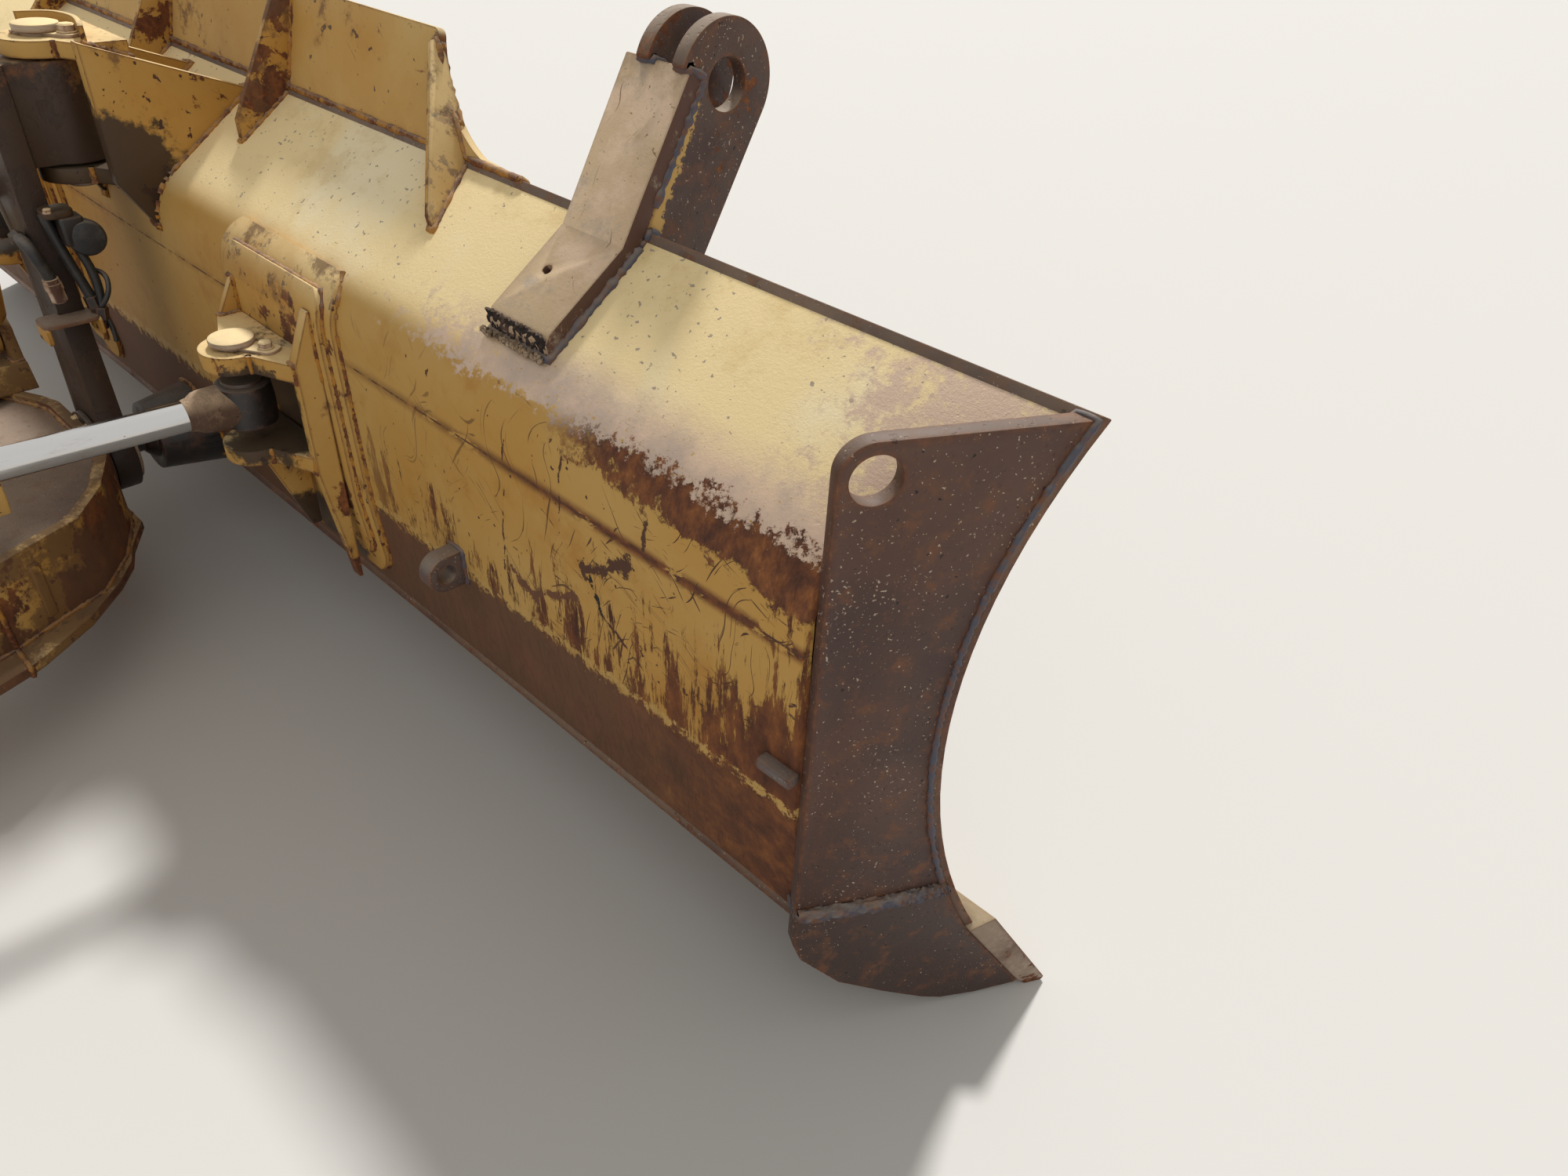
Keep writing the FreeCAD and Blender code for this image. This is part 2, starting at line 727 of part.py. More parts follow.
# tow bracket of bare plate, on the right only
tow_bar = new_body("tow_bar_blank")
pad(tow_bar, "YZ", [[
    ("60", "786"),
    ("76", "789"),
    ("198.5", "884"),
    ("309.5", "1073.3"),
    ("288", "1086"),
    ("177", "898"),
    ("62", "819"),
    ("55", "808"),
]], "tow_x - tow_half", "tow_x + tow_half")
node("tow_bar", cut("tow_bar", tow_bar, core))
ear_tool = fuse("ear_tool", [core, tow_bar])
for ear_name, ear_side in (("tow_ear_outer", "1"), ("tow_ear_inner", "-1")):
    middle = f"(tow_ear_mid + {ear_side}*(tow_gap + tow_ear_thick)/2)"
    ear = new_body(f"{ear_name}_blank")
    pad(ear, "YZ", [[
        ("200", "850"),
        ("313", "857"),
        ("tow_hole_y + tow_eye_radius*cos(31)", "tow_hole_z - tow_eye_radius*sin(31)", "tow_eye_radius"),
        ("tow_hole_y", "tow_hole_z + tow_eye_radius", "tow_eye_radius"),
        ("tow_hole_y - tow_eye_radius*cos(19)", "tow_hole_z + tow_eye_radius*sin(19)"),
        ("295", "1080"),
        ("208", "890"),
        ("225", "906"),
        ("212", "877"),
    ], ("round", "tow_hole_y", "tow_hole_z", "tow_hole_radius")],
        f"{middle} - tow_ear_thick/2", f"{middle} + tow_ear_thick/2")
    node(ear_name, cut(ear_name, ear, ear_tool))

# push frame: nose, cover and arms, right half of each outline
NOSE_WALL = (
    # x, y
    (110, -188),
    (154, -202),
    (249, -248),
    (328, -313),
    (358, -387),
)
NOSE_FLANGE = (
    # x, y
    (150, -182),
    (221, -226),
    (267, -246),
    (317, -285),
    (386, -358),
    (441, -446),
)


def nose_loop(outline, end_x):
    right = [(str(x), str(y)) for x, y in outline] + [(end_x, "nose_end")]
    left = [(f"-{x}", y) for x, y in reversed(right)]
    return right + left


nose = new_body("nose_body")
first = pad(nose, "XY", [list(nose_loop(NOSE_WALL, "396"))], "frame_low", "frame_high")
doc.recompute()
hollow = nose.newObject("PartDesign::Thickness", "nose_hollow")
hollow.Base = (first, [face_at(first.Shape, Vector(0, 0, 1))])
hollow.setExpression("Value", bind("frame_wall"))
hollow.Reversed = True
doc.recompute()
pad(nose, "XY", [nose_loop(NOSE_FLANGE, "452")], "frame_low", "frame_low + flange_thick")
node("frame_nose", nose)

cover_blank = new_body("cover_blank")
pad(cover_blank, "XY", [nose_loop(NOSE_WALL, "396")], "cover_top - cover_thick", "cover_top")
node("frame_cover", cut("frame_cover", cover_blank, nose))

arm = new_body("arm_body")
arm_pad = pad(arm, "XY", [[
    ("215", "nose_end"),
    ("265", "-650"),
    ("355", "-900"),
    ("385", arm_end),
    ("545", arm_end),
    ("520", "-900"),
    ("425", "-560"),
    ("396", "nose_end"),
]], "frame_low", "frame_high")
doc.recompute()
arm_hollow = arm.newObject("PartDesign::Thickness", "arm_hollow")
arm_ends = [face_at(arm_pad.Shape, Vector(0, 1, 0)), face_at(arm_pad.Shape, Vector(0, -1, 0))]
arm_hollow.Base = (arm_pad, arm_ends)
arm_hollow.setExpression("Value", bind("frame_wall"))
arm_hollow.Reversed = True
doc.recompute()
pad(arm, "XY", [[
    ("386", "nose_end"),
    ("415", "-560"),
    ("510", "-900"),
    ("530", "-1200"),
    ("545", "-1200"),
    ("568", "-1150"),
    ("565", "-900"),
    ("490", "-600"),
    ("468", "-517"),
    ("452", "nose_end"),
]], "frame_low", "frame_low + flange_thick")
both_sides("frame_arm", arm)

trunnion = new_body("trunnion_body")
pad(trunnion, "YZ", [[
    (arm_end, "frame_low"),
    (arm_end, "frame_high"),
    ("-reach + trunnion_eye_radius", "pin_height", "trunnion_eye_radius"),
    ("-reach", "pin_height + trunnion_eye_radius", "trunnion_eye_radius"),
    ("-reach - trunnion_eye_radius", "pin_height"),
    ("-reach - trunnion_eye_radius", "frame_low + 70"),
    ("-reach - 20", "frame_low"),
], ("round", "-reach", "pin_height", "trunnion_radius + running_gap")], "385", "545")
both_sides("trunnion_eye", trunnion)

# lift cylinder lugs on the arms
for lug_name, lug_side in (("lift_lug_outer", "1"), ("lift_lug_inner", "-1")):
    middle = f"(lug_x + {lug_side}*(lug_gap + lug_thick)/2)"
    lug = new_body(f"{lug_name}_body")
    pad(lug, "YZ", [[
        (f"{lug_y} - 75", "frame_high"),
        (f"{lug_y} + 75", "frame_high"),
        (f"{lug_y} + 45", "lug_z", "45"),
        (lug_y, "lug_z + 45", "45"),
        (f"{lug_y} - 45", "lug_z"),
    ], ("round", lug_y, "lug_z", "lug_bore + running_gap")], f"{middle} - lug_thick/2", f"{middle} + lug_thick/2")
    both_sides(lug_name, lug)

# angle cylinders, drawn along their own z axis from the rear pin
angle_yaw = f"atan((angle_pin_x - base_x)/(angle_pin_y - {base_y}))"
angle_length = f"sqrt((angle_pin_x - base_x)^2 + (angle_pin_y - {base_y})^2)"
barrel_end = f"(barrel_share*{angle_length})"
piston_end = f"({angle_length} - piston_share*{angle_length})"


def lay_along(body, x, y, z, yaw):
    """Turn a body so that its z axis runs forward, its x axis up and its y axis to the right."""
    body.setExpression("Placement", bind(
        f"placement(vector({x}; reach + {y}; {z} - pin_height);"
        f" rotation(vector(0; 0; 1); -({yaw})) * rotation(vector(1; 1; 1); 240))"))


def lay_across(item, out):
    """Turn an item so that its z axis runs along the angle cylinder's rear pin."""
    item.setExpression("Placement", bind(
        f"placement(vector(base_x - {out}*cos({angle_yaw}); base_forward + {out}*sin({angle_yaw});"
        f" angle_pin_z - pin_height); rotation(vector(0; 0; 1); -({angle_yaw})) * rotation(vector(0; 1; 0); 90))"))


barrel = doc.addObject("PartDesign::Body", "barrel_body")
lathe(barrel, [
    ("0", "30"),
    ("rear_eye_half", "30"),
    ("34", "66"),
    ("angle_barrel - 12", "66"),
    ("angle_barrel", "78"),
    ("angle_barrel", f"{barrel_end} - 50"),
    ("angle_gland", f"{barrel_end} - 50"),
    ("angle_gland", barrel_end),
    ("angle_rod + running_gap", barrel_end),
    ("angle_rod + running_gap", f"{barrel_end} - 34"),
    ("angle_bore", f"{barrel_end} - 34"),
    ("angle_bore", "92"),
    ("0", "92"),
])
pad(barrel, "XZ", [("round", "0", "0", "rear_eye")], "-rear_eye_half", "rear_eye_half")
lay_along(barrel, "base_x", base_y, "angle_pin_z", angle_yaw)
rear_room = doc.addObject("Part::Sphere", "rear_room")
rear_room.setExpression("Radius", bind("rear_ball + running_gap"))
lay_across(rear_room, "0")
both_sides("angle_barrel", cut("angle_barrel_right", barrel, rear_room))

rod = doc.addObject("PartDesign::Body", "rod_body")
lathe(rod, [
    ("0", piston_end),
    ("angle_bore - running_gap", piston_end),
    ("angle_bore - running_gap", f"{piston_end} + 24"),
    ("angle_rod", f"{piston_end} + 24"),
    ("angle_rod", f"{angle_length} - 78"),
    ("angle_rod + 9", f"{angle_length} - 66"),
    ("angle_rod + 9", f"{angle_length} - 30"),
    ("0", f"{angle_length} - 30"),
])
pad(rod, "YZ", [("round", "0", angle_length, "angle_eye")], "-angle_eye_half", "angle_eye_half")
pad(rod, "YZ", [("round", "0", angle_length, "angle_pin_radius + 6")], "-angle_eye_half - 5", "angle_eye_half + 5")
lay_along(rod, "base_x", base_y, "angle_pin_z", angle_yaw)
both_sides("angle_rod", rod)

# mount of the angle cylinder's rear pin, standing on the arm
mount_parts = []
for ear_index, ear_low, ear_high in (("a", "-54", "-32"), ("b", "32", "54")):
    ear = new_body(f"mount_ear_{ear_index}", "base_x", base_y, "0", (0, 0, -1), angle_yaw)
    pad(ear, "YZ", [[
        ("-95", "frame_high"),
        ("95", "frame_high"),
        ("46", "angle_pin_z", "46"),
        ("0", "angle_pin_z + 46", "46"),
        ("-46", "angle_pin_z"),
    ]], ear_low, ear_high)
    mount_parts.append(ear)
web = new_body("mount_web", "base_x", base_y, "0", (0, 0, -1), angle_yaw)
pad(web, "YZ", [[("-88", "frame_high"), ("88", "frame_high"), ("58", "480"), ("-58", "480")]], "-33", "33")
mount_parts.append(web)
mount_bore = doc.addObject("Part::Cylinder", "mount_bore")
mount_bore.setExpression("Radius", bind("rear_pin"))
mount_bore.setExpression("Height", "160")
lay_across(mount_bore, "80")
both_sides("cylinder_mount", cut("cylinder_mount_right", fuse("mount_raw", mount_parts), mount_bore))

mount_pin = doc.addObject("Part::Cylinder", "mount_pin")
mount_pin.setExpression("Radius", bind("rear_pin"))
mount_pin.setExpression("Height", "124")
lay_across(mount_pin, "62")
rear_ball = doc.addObject("Part::Sphere", "rear_ball")
rear_ball.setExpression("Radius", bind("rear_ball"))
lay_across(rear_ball, "0")
both_sides("mount_pin", fuse("mount_pin_right", [mount_pin, rear_ball]))

# ball stud with the boss that the tilt lever turns on
ball = doc.addObject("Part::Sphere", "ball")
ball.setExpression("Radius", bind("ball_radius"))
place(ball, "0", "pivot_y", "ball_z")
stem = drum("ball_stem", "24", "100", "0", "pivot_y", "ball_z", AXIS_Y_BACK, "90")
boss = drum("ball_boss", "boss_radius", "lever_front - lever_back + 4", "0", "lever_front + 1", "ball_z",
            AXIS_Y_BACK, "90")
flange = drum("ball_flange", "ring_radius", "9", "0", "lever_back - 2", "ball_z", AXIS_Y_BACK, "90")
node("ball_stud", fuse("ball_stud", [ball, stem, boss, flange]))
washer = drum("ball_washer_blank", "boss_radius + 13", "7", "0", "lever_front + 8", "ball_z", AXIS_Y_BACK, "90")
node("ball_washer", cut("ball_washer", washer, stem))

# tilt lever: ring on the boss, arm, side ear and the eye of the upper pivot
lever_arm = new_body("lever_arm")
ring_x = "ring_radius*cos(28)"
ring_z = "(ball_z + ring_radius*sin(28))"
pad(lever_arm, "XZ", [[
    (f"-{ring_x}", ring_z, "ring_radius"),
    ("0", "ball_z - ring_radius", "ring_radius"),
    (ring_x, ring_z),
    ("54", "520"),
    ("46", "700"),
    ("46", "upper_low - eye_play"),
    ("-46", "upper_low - eye_play"),
    ("-46", "802"),
    ("tilt_pin_x + 8", "tilt_pin_z + 39", "39.8"),
    ("tilt_pin_x - 39", "tilt_pin_z - 8", "39.8"),
    ("tilt_pin_x + 4", "tilt_pin_z - 39.6"),
    ("-56", "640"),
    ("-54", "520"),
], ("round", "0", "ball_z", "boss_radius + running_gap")], "lever_back", "lever_front")
lever_eye = drum("lever_eye", "eye_radius", "upper_low - lower_top - eye_play*2", "0", "pivot_y",
                 "lower_top + eye_play")
lever_web = new_body("lever_web")
pad(lever_web, "XY", [[("-40", "lever_back + 20"), ("40", "lever_back + 20"), ("46", "pivot_y"), ("-46", "pivot_y")]],
    "lower_top + eye_play", "upper_low - eye_play")
tilt_stub = drum("tilt_stub", "tilt_pin_radius", "lever_back - tilt_y - tilt_eye_half - 4 + 10", "tilt_pin_x",
                 "lever_back + 10", "tilt_pin_z", AXIS_Y_BACK, "90")
lever_bore = drum("lever_bore", "upper_pin_radius + running_gap", "400", "0", "pivot_y", "650")
node("tilt_lever", cut("tilt_lever", fuse("lever_raw", [lever_arm, lever_eye, lever_web, tilt_stub]), lever_bore))

# tilt cylinder, drawn along its own z axis from its base pin
tilt_lean = "atan((tilt_pin_x - tilt_base_x)/(tilt_pin_z - tilt_base_z))"
tilt_length = "sqrt((tilt_pin_x - tilt_base_x)^2 + (tilt_pin_z - tilt_base_z)^2)"
tilt_barrel = new_body("tilt_barrel_body", "tilt_base_x", "tilt_y", "tilt_base_z", (0, 1, 0), tilt_lean)
lathe(tilt_barrel, [
    ("0", "18"),
    ("17", "18"),
    ("20", "50"),
    ("tilt_barrel - 8", "50"),
    ("tilt_barrel", "58"),
    ("tilt_barrel", "tilt_barrel_end"),
    ("tilt_rod + running_gap", "tilt_barrel_end"),
    ("tilt_rod + running_gap", "tilt_barrel_end - 26"),
    ("tilt_bore", "tilt_barrel_end - 26"),
    ("tilt_bore", "70"),
    ("0", "70"),
])
pad(tilt_barrel, "XZ", [("round", "0", "0", "tilt_eye")], "-tilt_eye_half", "tilt_eye_half")
doc.recompute()
pocket(tilt_barrel, "XZ", [("round", "0", "0", "tilt_pin_radius + running_gap")])
node("tilt_barrel", tilt_barrel)

tilt_rod = new_body("tilt_rod_body", "tilt_base_x", "tilt_y", "tilt_base_z", (0, 1, 0), tilt_lean)
lathe(tilt_rod, [
    ("0", f"{tilt_length} - tilt_piston"),
    ("tilt_bore - running_gap", f"{tilt_length} - tilt_piston"),
    ("tilt_bore - running_gap", f"{tilt_length} - tilt_piston + 30"),
    ("tilt_rod", f"{tilt_length} - tilt_piston + 30"),
    ("tilt_rod", f"{tilt_length} - 20"),
    ("0", f"{tilt_length} - 20"),
])
pad(tilt_rod, "XZ", [("round", "0", tilt_length, "tilt_eye")], "-tilt_eye_half", "tilt_eye_half")
node("tilt_rod", tilt_rod)

tower_parts = []
for ear_index, ear_low, ear_high in (("a", "-40", "-20"), ("b", "20", "40")):
    ear = new_body(f"tower_ear_{ear_index}")
    pad(ear, "XZ", [[
        ("tilt_base_x - 55", "frame_high"),
        ("tilt_base_x + 55", "frame_high"),
        ("tilt_base_x + 40", "tilt_base_z", "40"),
        ("tilt_base_x", "tilt_base_z + 40", "40"),
        ("tilt_base_x - 40", "tilt_base_z"),
    ]], f"tilt_y + {ear_low}", f"tilt_y + {ear_high}")
    tower_parts.append(ear)
tower_block = new_body("tower_block")
pad(tower_block, "XZ", [[
    ("tilt_base_x - 55", "frame_high"),
    ("tilt_base_x + 80", "frame_high"),
    ("tilt_base_x + 60", "382"),
    ("tilt_base_x - 50", "382"),
]], "tilt_y - 90", "tilt_y + 40")
tower_bore = drum("tower_bore", "tilt_pin_radius", "120", "tilt_base_x", "tilt_y + 60", "tilt_base_z", AXIS_Y_BACK, "90")
node("tilt_tower", cut("tilt_tower", fuse("tower_raw", [*tower_parts, tower_block]), tower_bore))
tilt_pin = drum("tilt_pin", "tilt_pin_radius", "88", "tilt_base_x", "tilt_y + 44", "tilt_base_z", AXIS_Y_BACK, "90")
node("tilt_pin", tilt_pin)

doc.recompute()
failed = [item.Name for item in doc.Objects if "Invalid" in item.State or "Error" in item.State]
if failed:
    raise RuntimeError(f"failed objects: {failed}")
os.makedirs("parts", exist_ok=True)
for node_name, item in nodes.items():
    shape = item.Shape
    if shape.isNull() or not shape.isValid() or shape.Volume < 1000:
        raise RuntimeError(f"{node_name}: bad shape")
    print(f"{node_name} {len(shape.Solids)} {shape.Volume / 1e6:.2f}")
    shape.exportStep(f"parts/{node_name}.step")
print(len(nodes), "nodes")
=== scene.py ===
import json
import math
import random

import bpy
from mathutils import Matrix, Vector
from mathutils.bvhtree import BVHTree

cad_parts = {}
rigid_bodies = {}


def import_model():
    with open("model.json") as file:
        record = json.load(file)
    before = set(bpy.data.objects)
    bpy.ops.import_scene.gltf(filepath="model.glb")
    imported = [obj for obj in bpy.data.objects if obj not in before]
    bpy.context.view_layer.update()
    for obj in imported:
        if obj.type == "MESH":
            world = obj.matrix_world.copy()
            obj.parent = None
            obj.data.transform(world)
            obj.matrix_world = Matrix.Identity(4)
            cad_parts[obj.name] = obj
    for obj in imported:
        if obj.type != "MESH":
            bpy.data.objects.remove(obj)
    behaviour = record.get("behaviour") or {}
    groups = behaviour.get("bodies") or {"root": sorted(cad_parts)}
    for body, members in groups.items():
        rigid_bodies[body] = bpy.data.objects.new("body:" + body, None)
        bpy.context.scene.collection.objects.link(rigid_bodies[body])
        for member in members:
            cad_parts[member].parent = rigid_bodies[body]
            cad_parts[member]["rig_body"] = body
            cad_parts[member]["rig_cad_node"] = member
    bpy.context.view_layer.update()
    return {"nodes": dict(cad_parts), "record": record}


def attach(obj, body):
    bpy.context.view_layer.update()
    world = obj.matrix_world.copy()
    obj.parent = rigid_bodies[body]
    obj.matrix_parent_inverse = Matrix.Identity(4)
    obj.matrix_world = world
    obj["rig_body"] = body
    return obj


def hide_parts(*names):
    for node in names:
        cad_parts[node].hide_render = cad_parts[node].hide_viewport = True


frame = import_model()
nodes = frame["nodes"]
bpy.ops.object.select_all(action="DESELECT")
scene = bpy.context.scene
scene.view_settings.view_transform = "Standard"
print("frame loaded:", len(nodes), "nodes")

# the blade is drawn in mm: x from its middle, y forward of the back plate, z up from the ground
drawing = {"reach": 1560, "pinHeight": 410}


def at(x, y, z):
    return Vector((x, y + drawing["reach"], z - drawing["pinHeight"])) / 1000


# camera, floor and light
photoCamera = {"place": (2.151, 0.904, 0.951), "turn": (53.6645, -3.2032, 43.343), "lens": 25.2, "sensor": 36}
bpy.ops.object.camera_add(location=photoCamera["place"],
                          rotation=[math.radians(angle) for angle in photoCamera["turn"]])
camera = bpy.context.object
camera.name = "photoCamera"
camera.data.lens = photoCamera["lens"]
camera.data.sensor_width = photoCamera["sensor"]
camera.data.sensor_fit = "HORIZONTAL"
scene.camera = camera

studio = {
    "floorColor": (0.68, 0.655, 0.61, 1),
    "floorRough": 0.9,
    "floorSize": 90,
    "lampsAway": 6,
    "skyColor": (0.93, 0.93, 0.92, 1),
    "skyLight": 0.44,
    "skySeen": 0.9,
    "keyFrom": (-0.50, 0.62, 0.95),
    "keyLight": 3.1,
    "keySpread": 7,
    "fillFrom": (0.9, -0.9, 0.9),
    "fillLight": 0.30,
    "fillSpread": 60,
}


def sunLamp(name, comesFrom, strength, spread):
    bpy.ops.object.light_add(type="SUN", location=Vector(comesFrom) * studio["lampsAway"])
    lamp = bpy.context.object
    lamp.name = name
    lamp.rotation_euler = Vector(comesFrom).to_track_quat("Z", "Y").to_euler()
    lamp.data.energy = strength
    lamp.data.angle = math.radians(spread)


sunLamp("keyLamp", studio["keyFrom"], studio["keyLight"], studio["keySpread"])
sunLamp("fillLamp", studio["fillFrom"], studio["fillLight"], studio["fillSpread"])
bpy.ops.mesh.primitive_plane_add(size=studio["floorSize"], location=(0, 0, -drawing["pinHeight"] / 1000))
floor = bpy.context.object
floor.name = "studioFloor"


# helpers for shader trees; making holds the tree that is being laid out
making = {}


def feed(socket, value):
    if isinstance(value, bpy.types.NodeSocket):
        making["tree"].links.new(value, socket)
    else:
        socket.default_value = value


def addNode(kind, feeds=None, **settings):
    node = making["tree"].nodes.new(kind)
    for name, value in settings.items():
        setattr(node, name, value)
    for name, value in (feeds or {}).items():
        if value is not None:
            feed(node.inputs[name], value)
    return node


def blend(kind, slots, share, under, over):  # slots: where the share, both values and the result are
    node = addNode("ShaderNodeMix", data_type=kind)
    for index, value in zip(slots, (share, under, over)):
        feed(node.inputs[index], value)
    return node.outputs[slots[3]]


def blendColors(share, under, over):
    return blend("RGBA", (0, 6, 7, 2), share, under, over)


def blendValues(share, under, over):
    return blend("FLOAT", (0, 2, 3, 0), share, under, over)


def calc(operation, first, second=None, clamp=False):
    return addNode("ShaderNodeMath", {0: first, 1: second}, operation=operation, use_clamp=clamp).outputs[0]


def times(first, second):
    return calc("MULTIPLY", first, second)


def plus(first, second):
    return calc("ADD", first, second)


def minus(first, second):
    return calc("SUBTRACT", first, second)


def calcVector(operation, first, second=None, scale=None, output="Vector"):
    return addNode("ShaderNodeVectorMath", {0: first, 1: second, "Scale": scale}, operation=operation).outputs[output]


def dot(first, second):
    return calcVector("DOT_PRODUCT", first, second, output="Value")


def gapBetween(place, spot):
    return calcVector("LENGTH", calcVector("SUBTRACT", place, spot), output="Value")


def stretched(place, factors):
    return calcVector("MULTIPLY", place, factors)


def ramp(value, low, high):  # 0 below low, 1 above high
    return addNode("ShaderNodeMapRange", {"Value": value, "From Min": low, "From Max": high},
                   interpolation_type="SMOOTHSTEP").outputs["Result"]


def noise(place, scale, detail=4, rough=0.6, distortion=0.0):
    return addNode("ShaderNodeTexNoise", {"Vector": place, "Scale": scale, "Detail": detail, "Roughness": rough,
                                          "Distortion": distortion}).outputs["Fac"]


def patches(place, scale, detail, rough, low, high):  # a noise cut to patches
    return ramp(noise(place, scale, detail, rough), low, high)


def coords(output="Object"):
    return addNode("ShaderNodeTexCoord").outputs[output]


def axes(vector):
    return addNode("ShaderNodeSeparateXYZ", {"Vector": vector}).outputs


# sky and floor
sky = bpy.data.worlds.new("studioSky")
scene.world = sky
sky.use_nodes = True
making["tree"] = sky.node_tree
backdrop = sky.node_tree.nodes["Background"].inputs
backdrop["Color"].default_value = studio["skyColor"]
rays = addNode("ShaderNodeLightPath").outputs
seen = calc("MAXIMUM", rays["Is Camera Ray"], rays["Is Transmission Ray"])
seen = calc("MAXIMUM", seen, rays["Is Glossy Ray"])
feed(backdrop["Strength"], blendValues(seen, studio["skyLight"], studio["skySeen"]))

floorPaint = bpy.data.materials.new("floorPaint")
floorPaint.use_nodes = True
floorShader = floorPaint.node_tree.nodes["Principled BSDF"].inputs
floorShader["Base Color"].default_value = studio["floorColor"]
floorShader["Roughness"].default_value = studio["floorRough"]
floor.data.materials.append(floorPaint)
print("camera, floor and light set")


# shared effects, each a node group
def newGroup(name, outputs=("Mask",), **inputs):
    tree = bpy.data.node_groups.new(name, "ShaderNodeTree")
    making["tree"] = tree
    for socketName, value in inputs.items():
        kind = "NodeSocketFloat" if isinstance(value, float) else "NodeSocketVector"
        tree.interface.new_socket(socketName, in_out="INPUT", socket_type=kind).default_value = value
    for socketName in outputs:
        kind = "NodeSocketColor" if socketName == "Color" else "NodeSocketFloat"
        tree.interface.new_socket(socketName, in_out="OUTPUT", socket_type=kind)
    return tree, tree.nodes.new("NodeGroupInput").outputs, tree.nodes.new("NodeGroupOutput").inputs


def useGroup(group, output, **values):
    return addNode("ShaderNodeGroup", values, node_tree=group).outputs[output]


def rimWearGroup():  # paint rubbed off the edges, broken up by a noise
    tree, entry, leave = newGroup("rimWear", Radius=0.008, Breakup=45.0, Reach=0.5)
    rounded = addNode("ShaderNodeBevel", {"Radius": entry["Radius"]}, samples=4).outputs["Normal"]
    flat = addNode("ShaderNodeNewGeometry").outputs["Normal"]
    edge = ramp(minus(1.0, dot(rounded, flat)), 0.0, 0.22)
    limit = minus(1.0, times(edge, entry["Reach"]))
    feed(leave["Mask"], ramp(noise(coords(), entry["Breakup"], 6, 0.7), minus(limit, 0.32), minus(limit, 0.22)))
    return tree


def dustGroup():  # dust that settles on faces looking up
    tree, entry, leave = newGroup("settledDust", Amount=0.8, Patch=3.0)
    lying = times(ramp(axes(coords("Normal"))["Z"], 0.15, 0.85), entry["Amount"])
    drift = patches(coords(), entry["Patch"], 8, 0.72, 0.30, 0.62)
    feed(leave["Mask"], times(lying, plus(0.45, times(drift, 0.55))))
    return tree


rustLadder = ((0.34, (0.060, 0.024, 0.015, 1)), (0.48, (0.130, 0.046, 0.021, 1)), (0.62, (0.245, 0.088, 0.028, 1)),
              (0.78, (0.440, 0.200, 0.058, 1)))


def rustGroup():  # blotches of rust and their colour
    tree, entry, leave = newGroup("rustBloom", ("Mask", "Color"), Cover=0.4, Size=6.0, Stretch=(1.0, 1.0, 1.0))
    place = stretched(coords(), entry["Stretch"])
    limit = minus(0.78, times(entry["Cover"], 0.6))
    feed(leave["Mask"], ramp(noise(place, entry["Size"], 10, 0.68, 0.3), limit, plus(limit, 0.028)))
    colors = addNode("ShaderNodeValToRGB", {"Fac": noise(place, times(entry["Size"], 4.0), 8, 0.7)})
    ladder = colors.color_ramp.elements
    while len(ladder) < len(rustLadder):
        ladder.new(0.5)
    for element, (spot, color) in zip(ladder, rustLadder):
        element.position = spot
        element.color = color
    feed(leave["Color"], colors.outputs["Color"])
    return tree


def turnedAbout(axis, place, angle):
    return addNode("ShaderNodeVectorRotate", {"Vector": place, "Angle": angle}, rotation_type=axis).outputs["Vector"]


def scratchGroup():  # short thin scratches along one direction
    tree, entry, leave = newGroup("scratchField", Turn=0.0, Size=9.0, Cover=0.5)
    place = coords()
    across = turnedAbout("Y_AXIS", place, plus(entry["Turn"], times(noise(place, 2.5, 2, 0.5), 0.9)))
    limit = minus(0.80, times(entry["Cover"], 0.16))
    lines = noise(stretched(across, (1.0, 1.0, 16.0)), entry["Size"], 3, 0.5)
    feed(leave["Mask"], ramp(lines, limit, plus(limit, 0.025)))
    return tree


def gougeGroup():  # one scrape between two points; place and grit are shared by all scrapes of a surface
    tree, entry, leave = newGroup("gouge", Place=(0.0, 0.0, 0.0), Grit=0.5, From=(0.0, 0.0, 0.0), To=(1.0, 0.0, 0.0),
                                  Width=0.006)
    offset = calcVector("SUBTRACT", entry["Place"], entry["From"])
    run = calcVector("SUBTRACT", entry["To"], entry["From"])
    share = calc("DIVIDE", dot(offset, run), dot(run, run), clamp=True)
    gap = gapBetween(offset, calcVector("SCALE", run, scale=share))
    wide = times(entry["Width"], plus(0.1, times(entry["Grit"], 1.7)))
    feed(leave["Mask"], ramp(calc("DIVIDE", gap, wide), 1.0, 0.75))
    return tree


def speckleGroup():  # small sharp dots, gathered in drifts
    tree, entry, leave = newGroup("speckle", Size=240.0, Cover=0.5, Drift=6.0)
    place = coords()
    limit = minus(0.86, times(entry["Cover"], times(noise(place, entry["Drift"], 5, 0.65), 0.55)))
    feed(leave["Mask"], ramp(noise(place, entry["Size"], 2, 0.5), limit, plus(limit, 0.03)))
    return tree


def pitGroup():  # fine pits and a slow unevenness, as a height
    tree, entry, leave = newGroup("pittedSteel", ("Height",), Size=90.0, Depth=1.0)
    place = coords()
    cells = addNode("ShaderNodeTexVoronoi", {"Vector": place, "Scale": entry["Size"], "Randomness": 1.0},
                    feature="F1").outputs["Distance"]
    sparse = ramp(noise(place, times(entry["Size"], 0.35), 3), 0.45, 0.6)
    pits = calc("MAXIMUM", ramp(cells, 0.05, 0.30), sparse)
    grain = noise(place, times(entry["Size"], 3.0), 4, 0.7)
    feed(leave["Height"], times(plus(times(pits, 0.7), times(grain, 0.3)), entry["Depth"]))
    return tree


